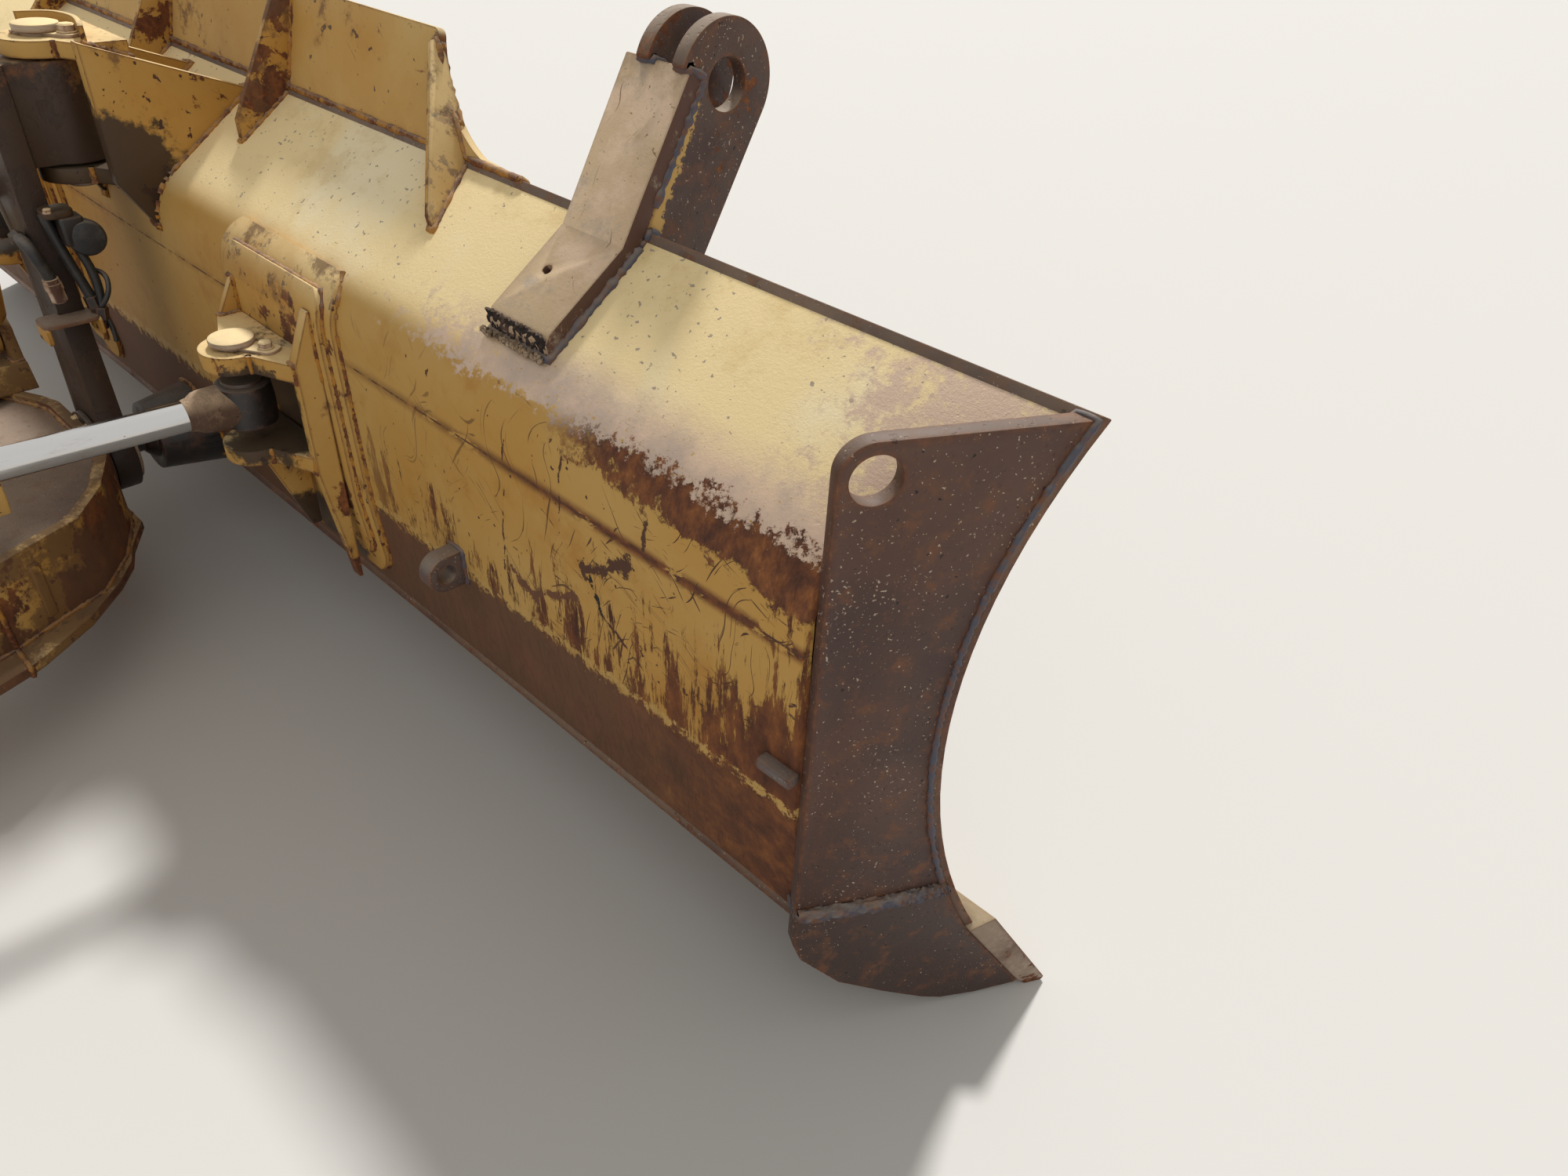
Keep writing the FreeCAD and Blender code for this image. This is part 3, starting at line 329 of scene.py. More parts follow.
rimWear, settledDust, rustBloom = rimWearGroup(), dustGroup(), rustGroup()
scratchField, gouge, pittedSteel, speckle = scratchGroup(), gougeGroup(), pitGroup(), speckleGroup()

tints = {
    "ochre": (0.500, 0.265, 0.056, 1), "ochreDeep": (0.420, 0.188, 0.028, 1), "ochreFaded": (0.530, 0.325, 0.098, 1),
    "sand": (0.960, 0.750, 0.400, 1), "sandPale": (0.970, 0.830, 0.540, 1), "sandGrey": (0.440, 0.350, 0.260, 1),
    "rustDark": (0.090, 0.040, 0.024, 1), "rustBrown": (0.165, 0.072, 0.038, 1), "rustOrange": (0.420, 0.165, 0.045, 1),
    "stripBrown": (0.135, 0.066, 0.034, 1), "plateBrown": (0.104, 0.052, 0.036, 1),
    "plateViolet": (0.068, 0.038, 0.032, 1), "bareTan": (0.500, 0.350, 0.225, 1), "bareRose": (0.640, 0.465, 0.340, 1),
    "bareGrey": (0.480, 0.365, 0.285, 1), "weldBlue": (0.080, 0.082, 0.105, 1), "soot": (0.022, 0.018, 0.017, 1),
    "topWorn": (0.700, 0.480, 0.190, 1), "wetDirtAndShade": (0.040, 0.025, 0.019, 1), "grease": (0.014, 0.011, 0.010, 1),
    "chrome": (0.600, 0.585, 0.570, 1), "earBrown": (0.100, 0.060, 0.042, 1), "rubber": (0.020, 0.020, 0.021, 1),
}


# a look is one material being laid up, coat over coat
def startLook(name, color, rough, metal=0.0):
    material = bpy.data.materials.new(name)
    material.use_nodes = True
    making.update(tree=material.node_tree, material=material, rough=rough, metal=metal, height=None,
                  color=tints.get(color, color))
    return coords()


def coat(share, color=None, rough=None, metal=None, rise=None):
    if color is not None:
        making["color"] = blendColors(share, making["color"], tints[color] if isinstance(color, str) else color)
    for key, value in (("rough", rough), ("metal", metal)):
        if value is not None:
            making[key] = blendValues(share, making[key], value)
    if rise is not None:
        step = times(share, rise)
        making["height"] = step if making["height"] is None else plus(making["height"], step)


def closeLook(bump=0.5, depth=0.002, shine=0.28):
    ends = making["tree"].nodes["Principled BSDF"].inputs
    ends["Specular IOR Level"].default_value = shine
    for socketName, key in (("Base Color", "color"), ("Roughness", "rough"), ("Metallic", "metal")):
        feed(ends[socketName], making[key])
    if making["height"] is not None:
        relief = addNode("ShaderNodeBump", {"Strength": bump, "Distance": depth, "Height": making["height"]})
        feed(ends["Normal"], relief.outputs["Normal"])
    return making["material"]


def rustCoat(share=None, **values):
    mask = useGroup(rustBloom, "Mask", **values)
    colors = useGroup(rustBloom, "Color", **values)
    coat(mask if share is None else times(mask, share), colors, 0.82, rise=-0.5)


def scratchCoats(cover, color, share=None):
    for turn, size in ((0.6, 10.0), (2.1, 13.0)):
        mask = useGroup(scratchField, "Mask", Turn=turn, Size=size, Cover=cover)
        coat(mask if share is None else times(mask, share), color, 0.7, rise=-0.35)


def dustCoat(amount, color, rough=None, patch=3.0, metal=None):
    coat(useGroup(settledDust, "Mask", Amount=amount, Patch=patch), color, rough, metal)


def speckleCoat(size, cover, drift, color, rough, rise=None, metal=None, within=None):
    mask = useGroup(speckle, "Mask", Size=size, Cover=cover, Drift=drift)
    coat(mask if within is None else times(within, mask), color, rough, metal, rise)


def rimCoat(color, rough, radius, reach, breakup=45.0, rise=None):
    coat(useGroup(rimWear, "Mask", Radius=radius, Breakup=breakup, Reach=reach), color, rough, rise=rise)


def paintBase(name, mottle=3.0):
    place = startLook(name, "ochre", 0.58)
    coat(patches(place, mottle, 5, 0.6, 0.35, 0.70), "ochreFaded", 0.68)
    coat(patches(place, mottle * 2.3, 6, 0.65, 0.50, 0.78), "ochreDeep", 0.52)
    coat(noise(place, 130.0, 3, 0.6), rise=0.25)
    return place


def nearSpot(place, spot, reach):  # 1 close to a spot or its mirrored twin, 0 beyond its reach
    gap = plus(gapBetween(calcVector("ABSOLUTE", place), spot), times(noise(place, 16.0, 7, 0.72), reach))
    return ramp(gap, reach * 1.46, reach * 1.34)


def wornPaint(name, rust, rim=0.5, dust=0.6, size=8.0, chips=0.62, grimeAndShade=0.4, stainsAndShade=()):
    place = paintBase(name)
    scratchCoats(0.4, "rustBrown")
    rustCoat(Cover=rust, Size=size)
    speckleCoat(70.0, chips, 7.0, "rustDark", 0.75, -0.6)
    rimCoat(useGroup(rustBloom, "Color", Size=12.0), 0.75, 0.006, rim, 60.0, -0.6)
    dustCoat(dust, "sand", 0.92)
    # random brown patches: partly dirt, partly painted shade that darkens the whole part
    dirtAndShade = patches(place, 7.0, 8, 0.74, 0.66 - grimeAndShade * 0.3, 0.74 - grimeAndShade * 0.3)
    coat(times(dirtAndShade, 0.75), "stripBrown", 0.7)
    # dark stains round given spots: grease and dirt, and where a spot sits in a shaded hollow, painted shade as well
    for spot, reach in stainsAndShade:
        coat(times(nearSpot(place, spot, reach), 0.93), "wetDirtAndShade", 0.45)
    return closeLook(depth=0.0015)


def darkPlate(name, base, rim=0.6, rust=0.25, dust=0.25, bleed=None, remnant=None):
    place = startLook(name, base, 0.48)
    coat(patches(place, 4.0, 7, 0.6, 0.38, 0.68), "plateViolet", 0.55)
    coat(patches(place, 34.0, 6, 0.7, 0.50, 0.72), "rustBrown", 0.7)
    if bleed is not None:
        coat(ramp(plus(bleed(place), noise(place, 6.0, 8, 0.7)), 0.95, 1.35), "rustOrange", 0.78)
    coat(1.0, rise=useGroup(pittedSteel, "Height", Size=110.0))
    speckleCoat(260.0, 0.62, 5.0, "sandGrey", 0.85, 0.2)
    speckleCoat(95.0, 0.50, 3.0, "soot", 0.6, -0.8)
    rustCoat(Cover=rust, Size=11.0)
    if remnant is not None:  # old paint that stayed on along one line
        start, end, wide = remnant
        grit = patches(place, 38.0, 8, 0.75, 0.30, 0.66)
        coat(useGroup(gouge, "Mask", Place=place, Grit=grit, From=start, To=end, Width=wide), "ochreFaded", 0.6)
    rimCoat(useGroup(rustBloom, "Color", Size=16.0), 0.72, 0.012, rim, 70.0)
    dustCoat(dust, "sandGrey", 0.9)
    return closeLook(0.6)


def bareSteel(name, base, rust=0.2, dust=0.3, metal=0.25, shadedFlanks=False, rubbed="bareRose"):
    place = startLook(name, base, 0.45, metal)
    coat(patches(place, 9.0, 8, 0.7, 0.45, 0.66), rubbed, 0.55)
    coat(patches(place, 5.0, 8, 0.7, 0.50, 0.74), "plateBrown", 0.6)
    coat(noise(place, 150.0, 4, 0.75), rise=0.8)
    scratchCoats(0.55, "rustBrown")
    speckleCoat(180.0, 0.55, 8.0, "rustBrown", 0.7, -0.5)
    rustCoat(Cover=rust, Size=14.0)
    rimCoat("rustBrown", 0.6, 0.008, 0.5)
    dustCoat(dust, "sand", 0.9)
    if shadedFlanks:  # painted shade: the flanks get a dark brown coat, only the broad faces keep the rubbed look; pale grey patches go over all
        flankShade = ramp(calc("ABSOLUTE", axes(coords("Normal"))["X"]), 0.55, 0.85)
        coat(times(flankShade, patches(place, 20.0, 8, 0.75, 0.30, 0.42)), "plateBrown", 0.7, 0.0)
        coat(patches(place, 11.0, 9, 0.75, 0.50, 0.66), "sandGrey", 0.7)
    return closeLook(depth=0.0015)


def greasySteel():
    place = startLook("greasySteel", "grease", 0.38)
    coat(patches(place, 22.0, 6, 0.7, 0.45, 0.72), "rustDark", 0.65, rise=0.4)
    dustCoat(0.25, "sandGrey", 0.9, 18.0)
    rimCoat("rustBrown", 0.5, 0.005, 0.35)
    return closeLook(depth=0.003, shine=0.5)


def chromeLook(name, eye=None):  # the eye at a rod's end isn't plated
    place = startLook(name, "chrome", 0.15, 1.0)
    coat(patches(stretched(place, (1.0, 0.25, 1.0)), 40.0, 6, 0.7, 0.55, 0.80), (0.46, 0.42, 0.37, 1), 0.28)
    speckleCoat(120.0, 0.40, 9.0, "rustBrown", 0.6, metal=0.0)
    if eye is not None:
        spot, reach = eye
        gap = plus(gapBetween(place, spot), times(noise(place, 60.0, 5, 0.7), 0.008))
        coat(ramp(gap, reach + 0.005, reach), "plateBrown", 0.62, 0.0)
        dustCoat(0.6, "bareTan", 0.9, 12.0, 0.0)
    return closeLook(shine=0.5)


def rubberLook():
    place = startLook("hoseRubber", "rubber", 0.42)
    coat(patches(place, 30.0, 6, 0.7, 0.48, 0.75), (0.060, 0.055, 0.048, 1), 0.7)
    coat(noise(place, 420.0, 2, 0.5), rise=0.5)
    dustCoat(0.35, "sandGrey", 0.9, 25.0)
    return closeLook(0.4, 0.0006, 0.5)


def crustLook(name, base, pale, dust=0.3):  # rough scale and dried dirt
    place = startLook(name, base, 0.88)
    coat(patches(place, 48.0, 7, 0.75, 0.46, 0.64), pale, 0.95, rise=0.6)
    coat(patches(place, 90.0, 5, 0.7, 0.56, 0.70), "rustDark", 0.8, rise=-0.5)
    coat(noise(place, 300.0, 3, 0.7), rise=0.6)
    dustCoat(dust, "bareTan", 0.95, 9.0)
    return closeLook(0.7, 0.003)


def beadLook(name, base, rust):  # a weld bead, ripple on ripple
    place = startLook(name, base, 0.62)
    coat(patches(place, 60.0, 5, 0.7, 0.42, 0.66), "rustBrown", 0.7)
    rustCoat(Cover=rust, Size=30.0)
    dustCoat(0.45, "sandGrey", 0.9, 20.0)
    coat(noise(place, 260.0, 3, 0.7), rise=1.0)
    return closeLook(depth=0.0012)


plateMarks = (  # scrapes on the back plate: from, to, half width, tint
    ((1.109, 1.559, 0.283), (1.071, 1.565, 0.062), 0.0018, "rustDark"),
    ((1.224, 1.558, 0.331), (1.208, 1.562, 0.174), 0.0018, "rustDark"),
    ((1.396, 1.557, 0.381), (1.373, 1.558, 0.329), 0.0042, "soot"),
    ((1.373, 1.558, 0.329), (1.371, 1.560, 0.253), 0.0034, "rustDark"),
    ((1.264, 1.562, 0.156), (1.283, 1.563, 0.108), 0.0044, "soot"),
    ((1.283, 1.563, 0.108), (1.357, 1.565, 0.062), 0.0030, "rustDark"),
    ((1.103, 1.563, 0.117), (1.232, 1.563, 0.121), 0.0018, "rustDark"),
    ((1.142, 1.564, 0.063), (1.227, 1.563, 0.106), 0.0070, "rustBrown"),
    ((1.093, 1.565, 0.073), (1.147, 1.565, 0.050), 0.0075, "rustBrown"),
    ((1.571, 1.559, 0.283), (1.615, 1.558, 0.320), 0.0036, "rustBrown"),
    ((1.256, 1.562, 0.162), (1.345, 1.561, 0.214), 0.0125, "rustDark"),
)
plateFolds = {"bendLow": 0.243, "low": -0.173, "bendFoot": 0.300, "bendTop": 0.392}


def backPlateLook():
    place = paintBase("backPlatePaint")
    sides = axes(place)
    side, height = calc("ABSOLUTE", sides["X"]), sides["Z"]
    foot, top = plateFolds["bendFoot"], plateFolds["bendTop"]
    onPanel = ramp(height, top, foot)
    outward = ramp(side, 0.45, 1.60)
    corner = ramp(side, 1.15, 1.70)
    rough = noise(place, 3.2, 9, 0.7)
    grain = noise(place, 46.0, 8, 0.78)
    # rubbed panel: streaks, scratches and chips, worst at the outer end
    scratchCoats(0.86, "rustDark", times(onPanel, plus(0.10, outward)))
    speckleCoat(75.0, 0.52, 5.0, "rustDark", 0.75, -0.6, within=onPanel)
    streaks = noise(stretched(place, (1.0, 1.0, 0.16)), 34.0, 10, 0.80)
    drop = plus(times(ramp(height, 0.30, 0.02), 0.30), times(corner, 0.24))
    drop = plus(drop, times(rough, 0.55))
    rotten = ramp(plus(drop, times(streaks, 1.35)), 1.265, 1.325)
    rotten = times(rotten, times(onPanel, ramp(side, 0.60, 0.85)))
    coat(rotten, useGroup(rustBloom, "Color", Size=7.0, Stretch=(1.0, 1.0, 0.4)), 0.85, rise=-0.6)
    # the folds: a rusty dotted ridge and a thin dark line along each
    for fold, wide, cover in ((plateFolds["bendLow"], 0.016, 0.56), (plateFolds["low"], 0.030, 0.6)):
        near = ramp(calc("ABSOLUTE", minus(height, fold)), wide, 0.0)
        rustCoat(times(near, plus(0.25, outward)), Cover=cover, Size=17.0, Stretch=(0.5, 1.0, 1.0))
        line = ramp(calc("ABSOLUTE", minus(height, fold)), 0.0022, 0.0008)
        coat(times(line, ramp(grain, 0.40, 0.55)), "rustDark", 0.7)
    # below the lower fold: the strip is coated dark brown as painted shade, with rust patches and more rust at the
    # outer corner over it
    crumbled = plus(height, times(minus(grain, 0.5), 0.12))
    strip = ramp(crumbled, 0.000, -0.005)
    coat(strip, "stripBrown", 0.72)
    coat(times(strip, patches(place, 7.0, 6, 0.6, 0.45, 0.70)), "rustBrown", 0.75)
    rustCoat(times(strip, corner), Cover=0.62, Size=8.0, Stretch=(0.6, 1.0, 0.6))
    # a pale line of faded ochre along the ridge where the strip starts: painted highlight
    ridge = times(ramp(calc("ABSOLUTE", minus(height, 0.008)), 0.022, 0.002), 0.42)
    coat(ramp(plus(ridge, times(grain, 1.7)), 1.20, 1.31), "ochreFaded", 0.5)
    # named scrapes
    shake = addNode("ShaderNodeTexNoise", {"Vector": place, "Scale": 14.0, "Detail": 4.0}).outputs["Color"]
    shake = calcVector("SCALE", calcVector("SUBTRACT", shake, (0.5, 0.5, 0.5)), scale=0.022)
    shaken = calcVector("ADD", place, shake)
    ragged = ramp(grain, 0.36, 0.64)
    scrapes = {}
    for start, end, wide, tint in plateMarks:
        mask = useGroup(gouge, "Mask", Place=shaken, Grit=ragged, From=start, To=end, Width=wide)
        scrapes[tint] = calc("MAXIMUM", scrapes[tint], mask) if tint in scrapes else mask
    for tint, mask in scrapes.items():
        coat(mask, tint, 0.75, rise=-0.8)
    # dust on the top plate, with fine scratches and rubbed patches through it
    onTop = ramp(height, foot + 0.035, top - 0.01)
    coat(onTop, "sand", 0.93)
    coat(times(onTop, patches(place, 2.4, 6, 0.6, 0.48, 0.66)), "sandPale", 0.93)
    coat(times(onTop, times(patches(place, 5.5, 9, 0.72, 0.54, 0.66), 0.40)), "topWorn", 0.9)
    scuffs = patches(stretched(turnedAbout("Z_AXIS", place, 0.5), (1.0, 3.5, 1.0)), 30.0, 8, 0.75, 0.66, 0.70)
    coat(times(onTop, scuffs), "bareGrey", 0.8, rise=-0.4)
    speckleCoat(110.0, 0.62, 4.0, "sandGrey", 0.85, -0.3, within=onTop)
    rubbed = plus(times(ramp(side, 1.05, 1.70), 0.34), times(rough, 0.6))
    coat(times(onTop, ramp(plus(rubbed, times(grain, 0.5)), 0.80, 0.90)), "bareRose", 0.6, 0.1)
    coat(times(onTop, noise(place, 240.0, 4, 0.8)), rise=0.9)
    # the bend is rubbed to bare metal, ragged at its edges, with rust below it
    bend = times(ramp(crumbled, foot + 0.038, foot + 0.045), ramp(height, top + 0.012, top - 0.035))
    ragged = plus(times(ramp(side, 0.55, 1.45), 0.62), times(grain, 0.75))
    bend = times(bend, ramp(plus(ragged, times(rough, 0.35)), 0.74, 0.86))
    coat(bend, "bareRose", 0.42, 0.30)
    coat(times(bend, patches(place, 6.0, 7, 0.7, 0.44, 0.62)), "bareGrey", 0.36, 0.40)
    speckleCoat(200.0, 0.62, 6.0, "ochreFaded", 0.6, metal=0.0, within=bend)
    depth = plus(foot + 0.105, times(plus(rough, grain), -0.115))
    depth = minus(depth, times(ramp(side, 1.25, 1.70), 0.034))
    under = times(ramp(minus(height, depth), 0.020, 0.030), ramp(crumbled, foot + 0.052, foot + 0.045))
    under = times(under, ramp(plus(side, times(grain, 0.3)), 1.32, 1.44))
    coat(under, useGroup(rustBloom, "Color", Size=13.0, Stretch=(1.0, 1.0, 0.5)), 0.7, rise=-0.4)
    return closeLook()


def towardFront(place):  # rises from the blade's back towards its face
    return ramp(axes(place)["Y"], 1.62, 1.90)


looks = {
    "paint": wornPaint("wornPaint", 0.30, grimeAndShade=0.42),
    # first stain, below the angle pin: grease plus painted shade of the hollow round the rod eye; second: a dark bare
    # patch on the upper bracket's gusset
    "bracketPaint": wornPaint("bracketPaint", 0.34, 0.8, 0.7, chips=0.66, grimeAndShade=0.32, stainsAndShade=(
        ((0.560, 1.510, 0.140), 0.115), ((0.060, 1.500, 0.360), 0.150))),
    "guardPaint": wornPaint("guardPaint", 0.26, 0.8, grimeAndShade=0.28),
    "gussetPaint": wornPaint("gussetPaint", 0.44, 1.0, size=13.0, chips=0.72, grimeAndShade=0.55),
    "framePaint": wornPaint("framePaint", 0.50, 0.7, 0.45, 5.0, 0.7, 0.8),
    "leverPaint": wornPaint("leverPaint", 0.45, 0.7, 0.5, chips=0.7, grimeAndShade=0.9, stainsAndShade=(
        ((0.060, 1.450, 0.300), 0.260), ((0.020, 1.400, 0.080), 0.200))),
    "coverDust": darkPlate("coverDust", (0.24, 0.160, 0.110, 1), dust=0.40, rust=0.12),
    "backPlate": backPlateLook(),
    "endPlate": darkPlate("endPlateSteel", "plateBrown", rust=0.16, bleed=towardFront),
    "wearPlate": darkPlate("wearPlateSteel", (0.062, 0.038, 0.031, 1), rim=0.5, rust=0.10),
    "moldFace": darkPlate("mouldboardSteel", (0.170, 0.108, 0.072, 1), rust=0.30, dust=0.45),
    "edgeSteel": bareSteel("edgeSteel", (0.29, 0.215, 0.155, 1), rust=0.32, rubbed="bareGrey"),
    "barSteel": bareSteel("barSteel", "bareTan", rust=0.12, dust=0.25, metal=0.1, shadedFlanks=True),
    "earSteel": darkPlate("earSteel", "earBrown", rust=0.42, dust=0.75),
    "nearEarSteel": darkPlate("nearEarSteel", "earBrown", rust=0.30, dust=0.75,
                              remnant=((1.132, 1.850, 0.635), (1.132, 1.788, 0.500), 0.0105)),
    "lugSteel": darkPlate("lugSteel", (0.16, 0.135, 0.125, 1), rust=0.2, dust=0.5),
    "pinSteel": bareSteel("pinSteel", (0.42, 0.33, 0.24, 1), rust=0.22, dust=0.97, metal=0.15),
    "greasy": greasySteel(),
    "chrome": chromeLook("polishedRod"),
    "tiltRod": chromeLook("tiltRodSteel", ((-0.098, 1.325, 0.325), 0.062)),
    "rubber": rubberLook(),
    "collarDirt": crustLook("collarDirt", (0.110, 0.062, 0.040, 1), (0.200, 0.125, 0.080, 1), 0.98),
    "scorched": crustLook("torchScorch", "soot", (0.110, 0.070, 0.052, 1)),
    "paleCrust": crustLook("slagCrust", (0.420, 0.300, 0.190, 1), (0.620, 0.500, 0.370, 1)),
    "weldBead": beadLook("paintedBead", "ochreDeep", 0.45),
    "darkBead": beadLook("scaledBead", "weldBlue", 0.15),
}
partsOf = {  # which CAD nodes have which look, sides left off
    "moldFace": "moldboard bottom_plate", "backPlate": "back_shell", "edgeSteel": "cutting_edge end_bit",
    "endPlate": "end_plate", "wearPlate": "end_wear_plate", "guardPaint": "center_guard",
    "gussetPaint": "gusset_mid gusset_end", "bracketPaint": "upper_bracket angle_bracket",
    "pinSteel": "upper_pin angle_pin mount_pin ball_washer tilt_pin", "greasy": "ball_socket ball_stud",
    "lugSteel": "eye_lug", "barSteel": "tow_bar", "nearEarSteel": "tow_ear_outer", "earSteel": "tow_ear_inner",
    "framePaint": "frame_nose frame_arm trunnion_eye lift_lug_outer lift_lug_inner cylinder_mount tilt_tower",
    "coverDust": "frame_cover", "paint": "angle_barrel tilt_barrel", "chrome": "angle_rod", "tiltRod": "tilt_rod",
    "leverPaint": "tilt_lever",
}
finishes = {part: look for look, parts in partsOf.items() for part in parts.split()}


def giveLook(thing, name):
    thing.data.materials.clear()
    thing.data.materials.append(looks[name])


bodyOf = {member: body for body, members in frame["record"]["behaviour"]["bodies"].items() for member in members}


def baseName(nodeName):
    return nodeName.removesuffix("_right").removesuffix("_left")


for nodeName, thing in nodes.items():
    giveLook(thing, finishes[baseName(nodeName)])
print("materials laid")


# helpers for modelling
def pickOnly(piece):
    bpy.ops.object.select_all(action="DESELECT")
    piece.select_set(True)
    bpy.context.view_layer.objects.active = piece


def applyPlace():
    bpy.ops.object.transform_apply(location=True, rotation=True, scale=True)


def smoothUnder(angle=35):
    bpy.ops.object.shade_smooth_by_angle(angle=math.radians(angle))


def editStart(mode="FACE", select=None):
    bpy.ops.object.mode_set(mode="EDIT")
    bpy.ops.mesh.select_mode(type=mode)
    if select:
        bpy.ops.mesh.select_all(action=select)


def editEnd():
    bpy.ops.object.mode_set(mode="OBJECT")


def pickWhere(piece, parts, wanted):  # selects the edges or polygons that pass the test
    editStart("EDGE" if parts == "edges" else "FACE", "DESELECT")
    editEnd()
    for part in getattr(piece.data, parts):
        part.select = wanted(part)


def edgeRun(piece, edge):
    one, two = (piece.data.vertices[index].co for index in edge.vertices)
    return one - two


def applyModifier(piece, kind, **settings):
    modifier = piece.modifiers.new(kind.lower(), kind)
    for name, value in settings.items():
        setattr(modifier, name, value)
    bpy.ops.object.modifier_apply(modifier=modifier.name)


def easeEdges(piece, width):
    applyModifier(piece, "BEVEL", width=width / 1000, segments=2, limit_method="ANGLE", angle_limit=math.radians(32))


def hand(piece, name, body, look, stands=()):
    piece.name = name
    giveLook(piece, look)
    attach(piece, body)
    if stands:
        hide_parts(*stands)
    return piece


def settle(piece, name, body, look, smooth=35, stands=()):  # last step of every new piece
    pickOnly(piece)
    applyPlace()
    editStart("FACE", "SELECT")
    bpy.ops.mesh.normals_make_consistent(inside=False)
    editEnd()
    smoothUnder(smooth)
    return hand(piece, name, body, look, stands)


def aimAt(direction):
    return Vector(direction).to_track_quat("Z", "Y").to_euler()


def turned(profile, foot, direction=(0, 0, 1), sides=40):  # a lathe shape: (along, radius) in mm from its foot
    along, radius = profile[0]
    bpy.ops.mesh.primitive_circle_add(vertices=sides, radius=radius / 1000, fill_type="NGON",
                                      location=(0, 0, along / 1000))
    piece = bpy.context.object
    applyPlace()
    editStart("FACE", "SELECT")
    for nextAlong, nextRadius in profile[1:]:
        bpy.ops.mesh.extrude_region_move(TRANSFORM_OT_translate={"value": (0, 0, (nextAlong - along) / 1000)})
        share = nextRadius / radius
        bpy.ops.transform.resize(value=(share, share, 1), center_override=(0, 0, nextAlong / 1000))
        along, radius = nextAlong, nextRadius
    editEnd()
    piece.location = foot
    piece.rotation_euler = aimAt(direction)
    return piece


def slab(low, high, ease=2.0, corners=None, axis=2, place=None, turn=(0, 0, 0)):  # a plate between two corners
    bpy.ops.mesh.primitive_cube_add(size=1, location=(Vector(low) + Vector(high)) / 2)
    piece = bpy.context.object
    piece.scale = Vector(high) - Vector(low)
    applyPlace()
    if corners:
        pickWhere(piece, "edges", lambda edge: abs(edgeRun(piece, edge)[axis]) > 0.9 * (high[axis] - low[axis]))
        editStart("EDGE")
        bpy.ops.mesh.bevel(offset=corners / 1000, segments=5, affect="EDGES")
        editEnd()
    easeEdges(piece, ease)
    if place:
        piece.location = place
        piece.rotation_euler = turn
    return piece


def joinAll(pieces):
    pickOnly(pieces[0])
    for piece in pieces[1:]:
        piece.select_set(True)
    bpy.ops.object.join()
    return bpy.context.object


def pathCurve(points):  # a smooth line through given points
    bpy.ops.curve.primitive_nurbs_path_add(location=(0, 0, 0))
    path = bpy.context.object
    path.data.splines.clear()
    line = path.data.splines.new("NURBS")
    line.points.add(len(points) - 1)
    for spot, point in zip(line.points, points):
        spot.co = (*point, 1)
    line.order_u = 3
    line.use_endpoint_u = True
    return path


def meshOf(curve):
    pickOnly(curve)
    bpy.ops.object.convert(target="MESH")
    return bpy.context.object


def bentTube(points, radius, sides=3):
    path = pathCurve(points)
    path.data.resolution_u = 8
    path.data.bevel_depth = radius / 1000
    path.data.bevel_resolution = sides
    path.data.use_fill_caps = True
    return meshOf(path)


def flatStrap(points, low, tall, thick):  # a flat bar stood on edge and bent along a line
    path = pathCurve([(*point, 0) for point in points])
    path.data.dimensions = "2D"
    path.data.fill_mode = "NONE"
    path.data.extrude = tall / 2000
    strap = meshOf(path)
    strap.location.z = low + tall / 2000
    applyModifier(strap, "SOLIDIFY", thickness=thick / 1000, offset=0)
    easeEdges(strap, 1.2)
    return strap


def roughen(piece, mode, offset, uniform, normal, seed):
    pickOnly(piece)
    editStart(mode, "SELECT")
    bpy.ops.transform.vertex_random(offset=offset, uniform=uniform, normal=normal, seed=seed)
    editEnd()


def nodeCopy(nodeName):  # a CAD node's own shape, merged, to be worked on
    pickOnly(nodes[nodeName])
    bpy.ops.object.duplicate()
    piece = bpy.context.object
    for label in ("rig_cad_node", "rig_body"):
        if label in piece:
            del piece[label]
    piece.parent = None
    if piece.data.has_custom_normals:
        bpy.ops.mesh.customdata_custom_splitnormals_clear()
    editStart("FACE", "SELECT")
    bpy.ops.mesh.remove_doubles(threshold=0.00002)
    editEnd()
    return piece


# weld seams: every inside corner of a welded part, and every edge that lies on what carries it
seamLimits = {"flat": 0.93, "hollow": 0.0002, "lying": 0.0009, "ripple": 0.0075, "halvings": 7, "thin": 0.62,
              "thick": 1.25}
seams = {  # part: (bead radius in mm, look, what carries it), sides left off
    "upper_bracket": (6.0, "weldBead", "back_shell", "center_guard"),
    "center_guard": (5.0, "weldBead", "moldboard", "back_shell"),
    "gusset_mid": (5.0, "weldBead", "back_shell", "center_guard"),
    "gusset_end": (5.0, "weldBead", "back_shell", "center_guard"),
    "angle_bracket": (4.5, "weldBead", "back_shell"),
    "eye_lug": (5.0, "darkBead", "back_shell"),
    "tow_bar": (8.0, "darkBead", "back_shell", "moldboard"),
    "tow_ear_inner": (6.0, "darkBead", "tow_bar", "moldboard", "back_shell"),
    "tow_ear_outer": (6.0, "darkBead", "tow_bar", "moldboard", "back_shell"),
    "end_plate": (4.5, "darkBead", "moldboard", "back_shell"),
    "end_wear_plate": (10.0, "darkBead", "end_plate"),
    "ball_socket": (6.0, "weldBead", "back_shell"),
    "frame_nose": (5.0, "weldBead"),
    "frame_cover": (5.5, "weldBead", "frame_nose"),
    "frame_arm": (5.0, "weldBead", "frame_nose"),
    "trunnion_eye": (6.0, "weldBead", "frame_arm"),
    "lift_lug_outer": (5.0, "weldBead", "frame_arm"),
    "lift_lug_inner": (5.0, "weldBead", "frame_arm"),
    "cylinder_mount": (5.0, "weldBead", "frame_arm"),
    "tilt_tower": (4.5, "weldBead", "frame_nose", "frame_cover"),
}


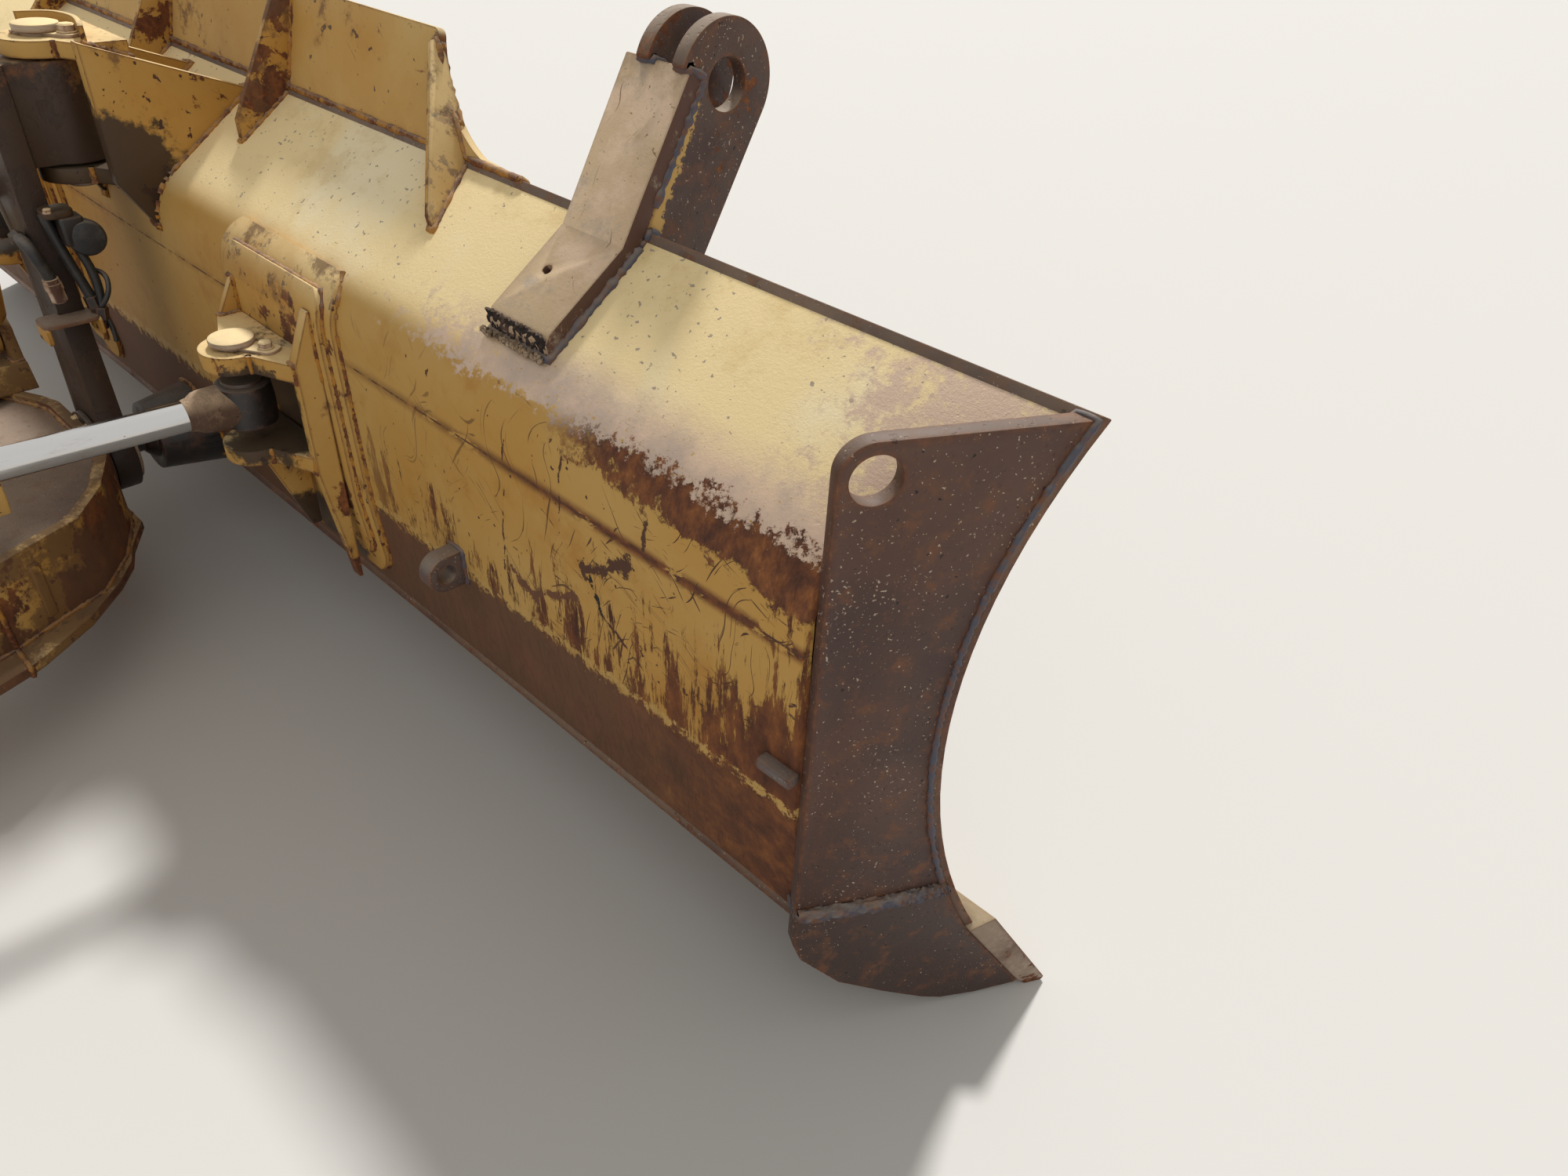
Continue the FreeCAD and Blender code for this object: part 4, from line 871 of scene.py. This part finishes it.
def seamEdges(piece, carriers, inside):
    mesh = piece.data
    graph = bpy.context.evaluated_depsgraph_get()
    trees = [BVHTree.FromObject(nodes[name], graph) for name in carriers]
    facesAt = {}
    for face in mesh.polygons:
        for key in face.edge_keys:
            facesAt.setdefault(key, []).append(face)
    picked = set()
    for edge in mesh.edges:
        pair = facesAt.get(tuple(sorted(edge.vertices)), [])
        if len(pair) != 2 or pair[0].normal.dot(pair[1].normal) > seamLimits["flat"]:
            continue
        one, two = (mesh.vertices[index].co for index in edge.vertices)
        hollow = inside and (pair[1].center - (one + two) / 2).dot(pair[0].normal) > seamLimits["hollow"]
        lying = any(all((tree.find_nearest(one.lerp(two, share))[3] or 0) < seamLimits["lying"]
                        for share in (0.1, 0.5, 0.9)) for tree in trees)
        if hollow or lying:
            picked.add(edge.index)
    return picked


def weldSeam(nodeName, carriers, width, look, seed):
    piece = nodeCopy(nodeName)
    picked = seamEdges(piece, carriers, nodeName != "tow_bar")
    pickWhere(piece, "edges", lambda edge: edge.index not in picked)
    editStart("EDGE")
    bpy.ops.mesh.delete(type="EDGE")
    editEnd()
    for turn in range(seamLimits["halvings"]):
        pickWhere(piece, "edges", lambda edge: edgeRun(piece, edge).length > seamLimits["ripple"])
        if not any(edge.select for edge in piece.data.edges):
            break
        editStart("EDGE")
        bpy.ops.mesh.subdivide(number_cuts=1)
        editEnd()
    bpy.ops.object.convert(target="CURVE")
    bead = bpy.context.object
    dice = random.Random(seed)
    for line in bead.data.splines:
        for point in line.points:
            point.radius = dice.uniform(seamLimits["thin"], seamLimits["thick"])
    bead.data.bevel_depth = width / 1000
    bead.data.bevel_resolution = 1
    bead.data.use_fill_caps = True
    bead = meshOf(bead)
    applyPlace()
    bpy.ops.object.shade_smooth()
    hand(bead, nodeName + "_weld", bodyOf[nodeName], look)


sides = (("right", 1), ("left", -1))
number = 0
for part, (width, look, *carriers) in seams.items():
    for side in ("",) if part in nodes else ("_right", "_left"):
        weldSeam(part + side, [name if name in nodes else name + side for name in carriers], width, look, number)
        number += 1
print("weld seams laid:", number)

# plates with their edges rounded off; most by the usual width, in mm
usualEase = 2.5
easedWidths = {
    "center_guard": 2.0, "gusset_mid": 2.0, "gusset_end": 2.0, "upper_bracket": 2.0, "angle_bracket": 1.6,
    "trunnion_eye": 3.0, "end_plate": 2.0, "end_wear_plate": 3.0, "cutting_edge": 1.5, "end_bit": 2.0,
    "tilt_lever": 3.0, "moldboard": 1.5, "bottom_plate": 1.5, "back_shell": 1.0, "angle_barrel": 1.2,
    "tilt_barrel": 1.2, "tilt_rod": 1.0, "ball_socket": 2.0, "ball_washer": 1.0, "ball_stud": 1.0, "mount_pin": 1.0,
    "tilt_pin": 1.0,
}
barHole = {"place": at(1052, 121, 864), "radius": 0.0065, "depth": 0.06, "lean": 37}


def drillBar(piece):  # the small blind hole in the tow bar's foot
    bpy.ops.mesh.primitive_cylinder_add(vertices=20, radius=barHole["radius"], depth=barHole["depth"],
                                        location=barHole["place"], rotation=(math.radians(barHole["lean"]), 0, 0))
    drill = bpy.context.object
    pickOnly(piece)
    applyModifier(piece, "BOOLEAN", operation="DIFFERENCE", object=drill)
    pickOnly(drill)
    bpy.ops.object.delete()
    pickOnly(piece)


def easedNode(nodeName):
    piece = nodeCopy(nodeName)
    editStart("FACE", "SELECT")
    bpy.ops.mesh.dissolve_limited(angle_limit=math.radians(0.6))
    editEnd()
    if nodeName == "tow_bar":
        drillBar(piece)
    easeEdges(piece, easedWidths.get(baseName(nodeName), usualEase))
    pickOnly(piece)
    smoothUnder()
    return hand(piece, nodeName + "_eased", bodyOf[nodeName], finishes[baseName(nodeName)], (nodeName,))


remodelled = {"angle_pin_right", "angle_pin_left", "upper_pin", "angle_rod_right", "angle_rod_left"}
eased = {nodeName: easedNode(nodeName) for nodeName in sorted(set(nodes) - remodelled)}
bpy.context.view_layer.update()
print("plate edges rounded:", len(eased))

# fasteners, modelled once and copied; the numbers are (along, radius) in mm
hexBoltShape = {"washer": [(-1, 13.5), (2.2, 13.5), (2.8, 12.6)],
                "head": [(2.0, 12.0), (10.5, 12.0), (12.6, 9.6), (13.0, 6.0)]}
flushBoltShape = {"head": [(-1.0, 19.0), (1.2, 19.0), (2.6, 16.5), (3.0, 11.0)], "rim": 0.0030, "sunk": 0.0016}
greaseShape = [(-1, 5.6), (3.2, 5.6), (3.6, 3.6), (8.0, 3.4), (9.4, 4.3), (11.4, 4.0), (12.6, 2.0)]
upward, rearward = (0, 0, 1), (0, -1, 0)


def keepMaster(piece, name):
    pickOnly(piece)
    applyPlace()
    smoothUnder()
    piece.name = name
    return piece


def flushHead():  # countersunk, with a worn rim
    head = turned(flushBoltShape["head"], (0, 0, 0), upward, 22)
    pickWhere(head, "polygons", lambda face: face.normal.z > 0.9 and face.center.z > 0.0029)
    editStart()
    bpy.ops.mesh.inset(thickness=flushBoltShape["rim"])
    bpy.ops.transform.translate(value=(0, 0, -flushBoltShape["sunk"]))
    editEnd()
    return head


hexBolt = keepMaster(joinAll([turned(hexBoltShape["washer"], (0, 0, 0), upward, 24),
                              turned(hexBoltShape["head"], (0, 0, 0), upward, 6)]), "hexBoltMaster")
flushBolt = keepMaster(flushHead(), "flushBoltMaster")
greaseFitting = keepMaster(turned(greaseShape, (0, 0, 0), upward, 12), "greaseFittingMaster")


def copyTo(master, name, place, direction, body, size=1.0, look="pinSteel"):
    pickOnly(master)
    bpy.ops.object.duplicate()
    piece = bpy.context.object
    piece.location = place
    piece.rotation_euler = aimAt(direction)
    piece.scale = (size, size, size)
    return settle(piece, name, body, look)


# pins of the angle cylinders on the blade, with their keeper plates
anglePin = {"x": 545, "y": -84, "low": 621, "plateTop": 645, "keeperTurn": 31, "boltOut": 55,
            "head": [(0, 23), (1, 24), (28.5, 24), (28.5, 30), (29.5, 32), (35.5, 32.5), (37.5, 31.5), (38.6, 28),
                     (39, 18)]}
turn = math.radians(anglePin["keeperTurn"])
for side, way in sides:
    head = turned(anglePin["head"], at(way * anglePin["x"], anglePin["y"], anglePin["low"]), upward, 44)
    settle(head, "angle_pin_head_" + side, "blade", "pinSteel", stands=("angle_pin_" + side,))
    keeper = slab((-0.034, -0.016, 0), (0.074, 0.016, 0.005), 1.0, 11,
                  place=at(way * anglePin["x"], anglePin["y"], anglePin["plateTop"] - 0.5),
                  turn=(0, 0, turn if way > 0 else math.pi - turn))
    settle(keeper, "angle_pin_keeper_" + side, "blade", "pinSteel")
    bolt = (anglePin["x"] + anglePin["boltOut"] * math.cos(turn), anglePin["y"] + anglePin["boltOut"] * math.sin(turn))
    copyTo(hexBolt, "angle_pin_bolt_" + side, at(way * bolt[0], bolt[1], anglePin["plateTop"] + 4), upward, "blade",
           0.85)

# upper pin with its keeper bar, bolt and the bent strap behind it
upperPin = {"y": -60, "low": 746, "plateTop": 975, "keeperTurn": 38,
            "head": [(0, 23), (2, 25), (235, 25), (235, 32), (236, 34), (243, 34.5), (246, 33), (247.5, 28), (248, 16)],
            "strap": ((-0.070, 1.494), (-0.064, 1.538), (-0.020, 1.556), (0.030, 1.555), (0.092, 1.535))}
head = turned(upperPin["head"], at(0, upperPin["y"], upperPin["low"]), upward, 48)
settle(head, "upper_pin_head", "blade", "pinSteel", stands=("upper_pin",))
keeper = slab((-0.040, -0.018, 0), (0.068, 0.018, 0.006), 1.2, 12,
              place=at(0, upperPin["y"], upperPin["plateTop"] - 0.5),
              turn=(0, 0, math.radians(upperPin["keeperTurn"])))
settle(keeper, "upper_pin_keeper", "blade", "pinSteel")
copyTo(hexBolt, "upper_pin_bolt", at(39, -29, upperPin["plateTop"] + 5), upward, "blade", 1.1)
settle(flatStrap(upperPin["strap"], at(0, 0, 974).z, 24, 8), "upper_pin_strap", "blade", "bracketPaint")
print("pins and keepers done")

# angle cylinders: rod, dirty collar, greasy eye, ports and a hard line
angleRod = {
    "base": (460, -1060), "length": 979.7, "slide": (0.086762, 0.996229), "axisHigh": 555,
    "shaft": [(336, 42), (338, 44.5), (357, 44.5), (359, 22.5), (905, 22.5)],
    "collar": [(890, 23.0), (893, 24.5), (899, 25.5), (903, 28), (908, 31), (915, 32.5), (926, 33), (938, 33.4),
               (948, 34), (958, 35)],
    "halfEye": [(39, 24), (38.6, 29), (34.5, 30.5), (34, 36), (31.5, 39.2), (24, 40), (8, 41)],
    "gland": [(588, 62), (590, 68.5), (603, 69), (605, 66.5), (628, 66.5), (634, 64), (638, 58), (639.5, 30)],
    "wiper": [(636, 30), (641, 29.5), (642.5, 26), (642.8, 23.2)],
    "nut": [(0, 13.5), (11, 13.5), (12, 11)],
    "ports": (118, 556),
    "clamps": (170, 330, 480),
    "line": ((556, 84), (556, 100), (535, 104), (400, 78), (240, 78), (60, 84), (30, 90)),
}


def alongCylinder(way, along, up=0.0, out=0.0):
    (baseX, baseY), (slideX, slideY) = angleRod["base"], angleRod["slide"]
    return at(way * (baseX + slideX * along + slideY * out), baseY + slideY * along - slideX * out,
              angleRod["axisHigh"] + up)


for side, way in sides:
    slide = Vector((way * angleRod["slide"][0], angleRod["slide"][1], 0))
    heading = (0, 0, math.atan2(slide.y, slide.x))
    base = alongCylinder(way, 0)
    rod, barrel = "angle_rod_" + side, "angle_barrel_" + side
    settle(turned(angleRod["shaft"], base, slide, 64), "angle_rod_shaft_" + side, rod, "chrome", stands=(rod,))
    settle(turned(angleRod["collar"], base, slide), "angle_rod_collar_" + side, rod, "collarDirt", 60)
    eyeShape = [(-along, radius) for along, radius in angleRod["halfEye"]] + angleRod["halfEye"][::-1]
    eye = turned(eyeShape, alongCylinder(way, angleRod["length"]), upward, 44)
    settle(eye, "angle_rod_eye_" + side, rod, "greasy")
    settle(turned(angleRod["gland"], base, slide, 48), "gland_" + side, barrel, "paint")
    settle(turned(angleRod["wiper"], base, slide), "rod_wiper_" + side, barrel, "rubber")
    for number, along in enumerate(angleRod["ports"]):
        port = slab((-0.024, -0.020, 0), (0.024, 0.020, 0.026), 1.6, 6, place=alongCylinder(way, along, 54),
                    turn=heading)
        settle(port, f"port_block_{number}_{side}", barrel, "paint")
        nut = turned(angleRod["nut"], alongCylinder(way, along, 79), upward, 6)
        settle(nut, f"port_nut_{number}_{side}", barrel, "pinSteel")
    line = bentTube([alongCylinder(way, along, up) for along, up in angleRod["line"]], 7.0)
    settle(line, "hard_line_" + side, barrel, "paint", 60)
    for number, along in enumerate(angleRod["clamps"]):
        band = slab((-0.009, -0.030, 0), (0.009, 0.030, 0.024), 2.0, 4, place=alongCylinder(way, along, 60),
                    turn=heading)
        settle(band, f"line_clamp_{number}_{side}", barrel, "paint")
        copyTo(hexBolt, f"line_clamp_bolt_{number}_{side}", alongCylinder(way, along, 83, 20), upward, barrel, 0.5)
    copyTo(greaseFitting, "mount_grease_" + side, alongCylinder(way, 0, 50), upward, barrel)
print("angle cylinders dressed")

# tilt cylinder: gland, port blocks
tiltAxis = {"x": -270, "z": 430, "y": -235, "lean": (0.491596, 0.870827), "ports": (72, 214),
            "gland": [(228, 43), (230, 46), (246, 46.5), (258, 46), (262, 43), (263, 20)],
            "wiper": [(261, 25), (265, 24.5), (266.5, 19)]}


def alongTilt(along, back=0.0):
    leanX, leanZ = tiltAxis["lean"]
    return at(tiltAxis["x"] + leanX * along, tiltAxis["y"] - back, tiltAxis["z"] + leanZ * along)


tiltWay = Vector((tiltAxis["lean"][0], 0, tiltAxis["lean"][1]))
settle(turned(tiltAxis["gland"], alongTilt(0), tiltWay, 44), "tilt_gland", "tilt_barrel", "paint")
settle(turned(tiltAxis["wiper"], alongTilt(0), tiltWay, 32), "tilt_wiper", "tilt_barrel", "rubber")
for number, along in enumerate(tiltAxis["ports"]):
    port = slab((-0.017, -0.017, 0), (0.017, 0.017, 0.020), 1.5, 5, place=alongTilt(along, 36), turn=aimAt(rearward))
    settle(port, f"tilt_port_{number}", "tilt_barrel", "paint")
    copyTo(hexBolt, f"tilt_port_plug_{number}", alongTilt(along, 54), rearward, "tilt_barrel", 0.8)
copyTo(hexBolt, "tilt_pin_bolt", at(-270, -279, 430), rearward, "push_frame", 1.1)

# ball joint: bolts of the retaining cap
capBolts = {"count": 8, "ring": 66, "y": -188, "high": 270}
for number in range(capBolts["count"]):
    angle = math.radians(22.5 + 45 * number)
    place = at(capBolts["ring"] * math.cos(angle), capBolts["y"], capBolts["high"] + capBolts["ring"] * math.sin(angle))
    copyTo(hexBolt, f"ball_cap_bolt_{number}", place, rearward, "push_frame", 0.72)
copyTo(greaseFitting, "ball_grease", at(0, capBolts["y"], capBolts["high"]), rearward, "push_frame", 1.2)

# bushes and rims round the bores of the frame: place, sizes in mm
bores = {"trunnion": {"across": ((545, 1), (385, -1)), "y": -1560, "z": 410, "ring": (41, 56, 5), "sides": 48},
         "lug": {"across": ((420, 1), (400, -1), (340, 1), (320, -1)), "y": -720, "z": 430, "ring": (26.5, 40, 3),
                 "sides": 36}}


def ringPiece(inner, outer, thick, place, direction, count):  # a bush flange round a bore
    bpy.ops.mesh.primitive_circle_add(vertices=count, radius=inner / 1000, fill_type="NOTHING", location=(0, 0, 0))
    piece = bpy.context.object
    editStart("EDGE")
    level, last = 0, inner
    for rise, radius in ((0, outer), (thick - 1, outer), (thick, outer - 1.2), (thick, inner + 0.8),
                         (thick - 0.8, inner), (0, inner)):
        bpy.ops.mesh.extrude_region_move(TRANSFORM_OT_translate={"value": (0, 0, 0)})
        bpy.ops.transform.resize(value=(radius / last, radius / last, 1), center_override=(0, 0, 0))
        bpy.ops.transform.translate(value=(0, 0, (rise - level) / 1000))
        level, last = rise, radius
    bpy.ops.mesh.select_all(action="SELECT")
    bpy.ops.mesh.remove_doubles(threshold=0.00001)
    editEnd()
    piece.location = place
    piece.rotation_euler = aimAt(direction)
    return piece


for side, way in sides:
    for bore, label in (("trunnion", "trunnion_bush"), ("lug", "lift_lug_rim")):
        shape = bores[bore]
        for number, (across, out) in enumerate(shape["across"]):
            ring = ringPiece(*shape["ring"], at(way * across, shape["y"], shape["z"]), (way * out, 0, 0),
                             shape["sides"])
            settle(ring, f"{label}_{number}_{side}", "push_frame", "pinSteel")
    copyTo(greaseFitting, "trunnion_grease_" + side, at(way * 465, -1560, 484), upward, "push_frame", 1.2)

# cutting edge bolts, set on the face of the edge
edgeBolts = {"high": 118, "spacing": 152, "count": 17, "bitHigh": 112, "bitAcross": (1345, 1455, 1565, 1675)}


def setOnFace(nodeName, across, high, name):
    found, spot, normal, face = eased[nodeName].ray_cast(at(across, 1500, high), Vector(rearward))
    if found:
        copyTo(flushBolt, name, spot, normal, "blade", look="edgeSteel")


for number in range(edgeBolts["count"]):
    setOnFace("cutting_edge", (number - (edgeBolts["count"] - 1) / 2) * edgeBolts["spacing"], edgeBolts["high"],
              f"edge_bolt_{number}")
for side, way in sides:
    for number, across in enumerate(edgeBolts["bitAcross"]):
        setOnFace("end_bit_" + side, way * across, edgeBolts["bitHigh"], f"bit_bolt_{number}_{side}")
print("bolts and bushes set")

# torch-cut end of the tow bar: scorched, ragged face with a crust of slag under it
cutFace = {"place": at(1075, 55.5, 804), "size": (0.116, 0.031, 1), "lean": 90 + 13, "thick": 0.003}
bpy.ops.mesh.primitive_grid_add(x_subdivisions=34, y_subdivisions=8, size=1, location=cutFace["place"],
                                rotation=(math.radians(cutFace["lean"]), 0, 0))
scorch = bpy.context.object
scorch.scale = cutFace["size"]
applyPlace()
roughen(scorch, "VERT", 0.0032, 0.2, 0.6, 9)
applyModifier(scorch, "SOLIDIFY", thickness=cutFace["thick"])
settle(scorch, "bar_cut_face", "blade", "scorched", 20)
dice = random.Random(12)
crustLine = [at(1010 + step * 9.2, 52 + dice.uniform(-3, 2.5), 789 + dice.uniform(-3, 3)) for step in range(14)]
crust = bentTube(crustLine, 3.4, 2)
roughen(crust, "VERT", 0.0034, 0.4, 0.5, 5)
settle(crust, "bar_cut_crust", "blade", "paleCrust", 60)

# broad bead over the joint between end plate and wear plate, and a bar welded into the outer corner of the back plate
wearJoint = ((1639, -1, 262), (1672, 53, 256), (1713, 125, 254), (1733, 160, 256), (1739, 170, 258))
cornerBar = {"x": (1566, 1618), "y": (-11, 6), "z": (471, 487)}
for side, way in sides:
    bead = bentTube([at(way * (across - 3.0), depth + 1.8, high) for across, depth, high in wearJoint], 9.5)
    pickOnly(bead)
    editStart("EDGE", "SELECT")
    bpy.ops.mesh.subdivide(number_cuts=1)
    editEnd()
    roughen(bead, "EDGE", 0.0022, 0.3, 0.8, 7)
    settle(bead, "wear_plate_bead_" + side, "blade", "darkBead", 60)
for side, way in sides:
    ends = [at(way * x, y, z) for x, y, z in zip(*cornerBar.values())]
    bar = slab([min(pair) for pair in zip(*ends)], [max(pair) for pair in zip(*ends)], 2.5, 4, 1)
    settle(bar, "corner_bar_" + side, "blade", "lugSteel")

# frame wall: upright rib
wallRib = {"place": (366, -404, 205), "low": (-0.004, -0.006, 0), "high": (0.004, 0.012, 0.100), "facing": (0.91, 0.42)}
for side, way in sides:
    x, y, z = wallRib["place"]
    rib = slab(wallRib["low"], wallRib["high"], 2.0, 3, place=at(way * x, y, z),
               turn=(0, 0, math.atan2(wallRib["facing"][1], way * wallRib["facing"][0])))
    settle(rib, "frame_wall_rib_" + side, "push_frame", "framePaint")


# oil lines and their clamp, on the right flank of the tilt lever
def drawnSlab(low, high, *shape):
    return slab(at(*low), at(*high), *shape)


def drawnTube(radius, *points):
    return bentTube([at(*point) for point in points], radius, 3 if radius < 5 else 4)


def drawnTurned(profile, foot, direction, count):
    return turned(profile, at(*foot), direction, count)


nutShape = [(-13, 11), (-12, 12.5), (8, 12.5), (10, 10.5), (14, 9.5), (26, 9.5), (27, 8)]
leverPieces = {  # name: (how it is made, look, its sizes in mm)
    "line_clamp_top": (drawnSlab, "bracketPaint", (46, -158, 722), (92, -112, 735), 3.0, 14),
    "line_block": (drawnSlab, "greasy", (58, -140, 676), (96, -104, 723), 3.0, 5),
    "line_drum": (drawnTurned, "rubber", [(0, 20), (2, 24), (26, 28), (34, 30), (42, 29.5), (46, 26), (47.5, 19),
                                          (48, 9)], (52, -103, 686), (1, -0.12, 0), 40),
    "oil_tube_front": (drawnTube, "rubber", 8.5, (62, -152, 726), (64, -150, 700), (68, -138, 640), (72, -126, 590),
                       (74, -122, 566)),
    "oil_tube_rear": (drawnTube, "rubber", 7.5, (70, -124, 680), (74, -116, 650), (78, -110, 615), (78, -112, 575),
                      (76, -120, 548)),
    "oil_tube_nut_0": (drawnTurned, "greasy", nutShape, (73, -124, 572), (0.05, 0.1, -1), 6),
    "oil_tube_nut_1": (drawnTurned, "greasy", nutShape, (76, -119, 552), (-0.05, -0.15, -1), 6),
    "line_hook": (drawnTube, "rubber", 4.2, (62, -104, 622), (80, -94, 622), (92, -98, 596), (88, -112, 572),
                  (78, -122, 562), (76, -112, 548), (80, -108, 520), (80, -110, 500)),
    "oil_elbow": (drawnTube, "rubber", 10.0, (30, -190, 684), (48, -192, 688), (66, -190, 684), (72, -184, 660),
                  (70, -178, 640), (69, -174, 622)),
    "oil_elbow_cap": (drawnTurned, "greasy", [(-2, 11.5), (0, 13), (14, 13), (16, 11), (20, 8)], (31, -190, 684),
                      (-1, 0, 0), 6),
    "oil_elbow_sleeve": (drawnTurned, "barSteel", [(0, 11), (1, 12.8), (8, 12.8), (9, 14), (20, 14), (21, 12.4),
                                                   (40, 12.4), (42, 10)], (69, -175, 626), (-0.02, 0.1, -1), 24),
    "line_shelf": (drawnSlab, "coverDust", (38, -214, 548), (96, -124, 556), 2.5, 16),
    "line_shelf_leg_0": (drawnSlab, "bracketPaint", (40, -212, 520), (92, -205, 552), 2.0, 8, 1),
    "line_shelf_leg_1": (drawnSlab, "bracketPaint", (40, -130, 520), (92, -123, 552), 2.0, 8, 1),
}
for name, (make, look, *sizes) in leverPieces.items():
    settle(make(*sizes), name, "tilt_lever", look, 60 if make is drawnTube else 35)
copyTo(hexBolt, "line_clamp_bolt", at(84, -150, 733), upward, "tilt_lever", 0.55)
print("tilt lever's oil lines done")

for master in (hexBolt, flushBolt, greaseFitting):
    pickOnly(master)
    bpy.ops.object.delete()
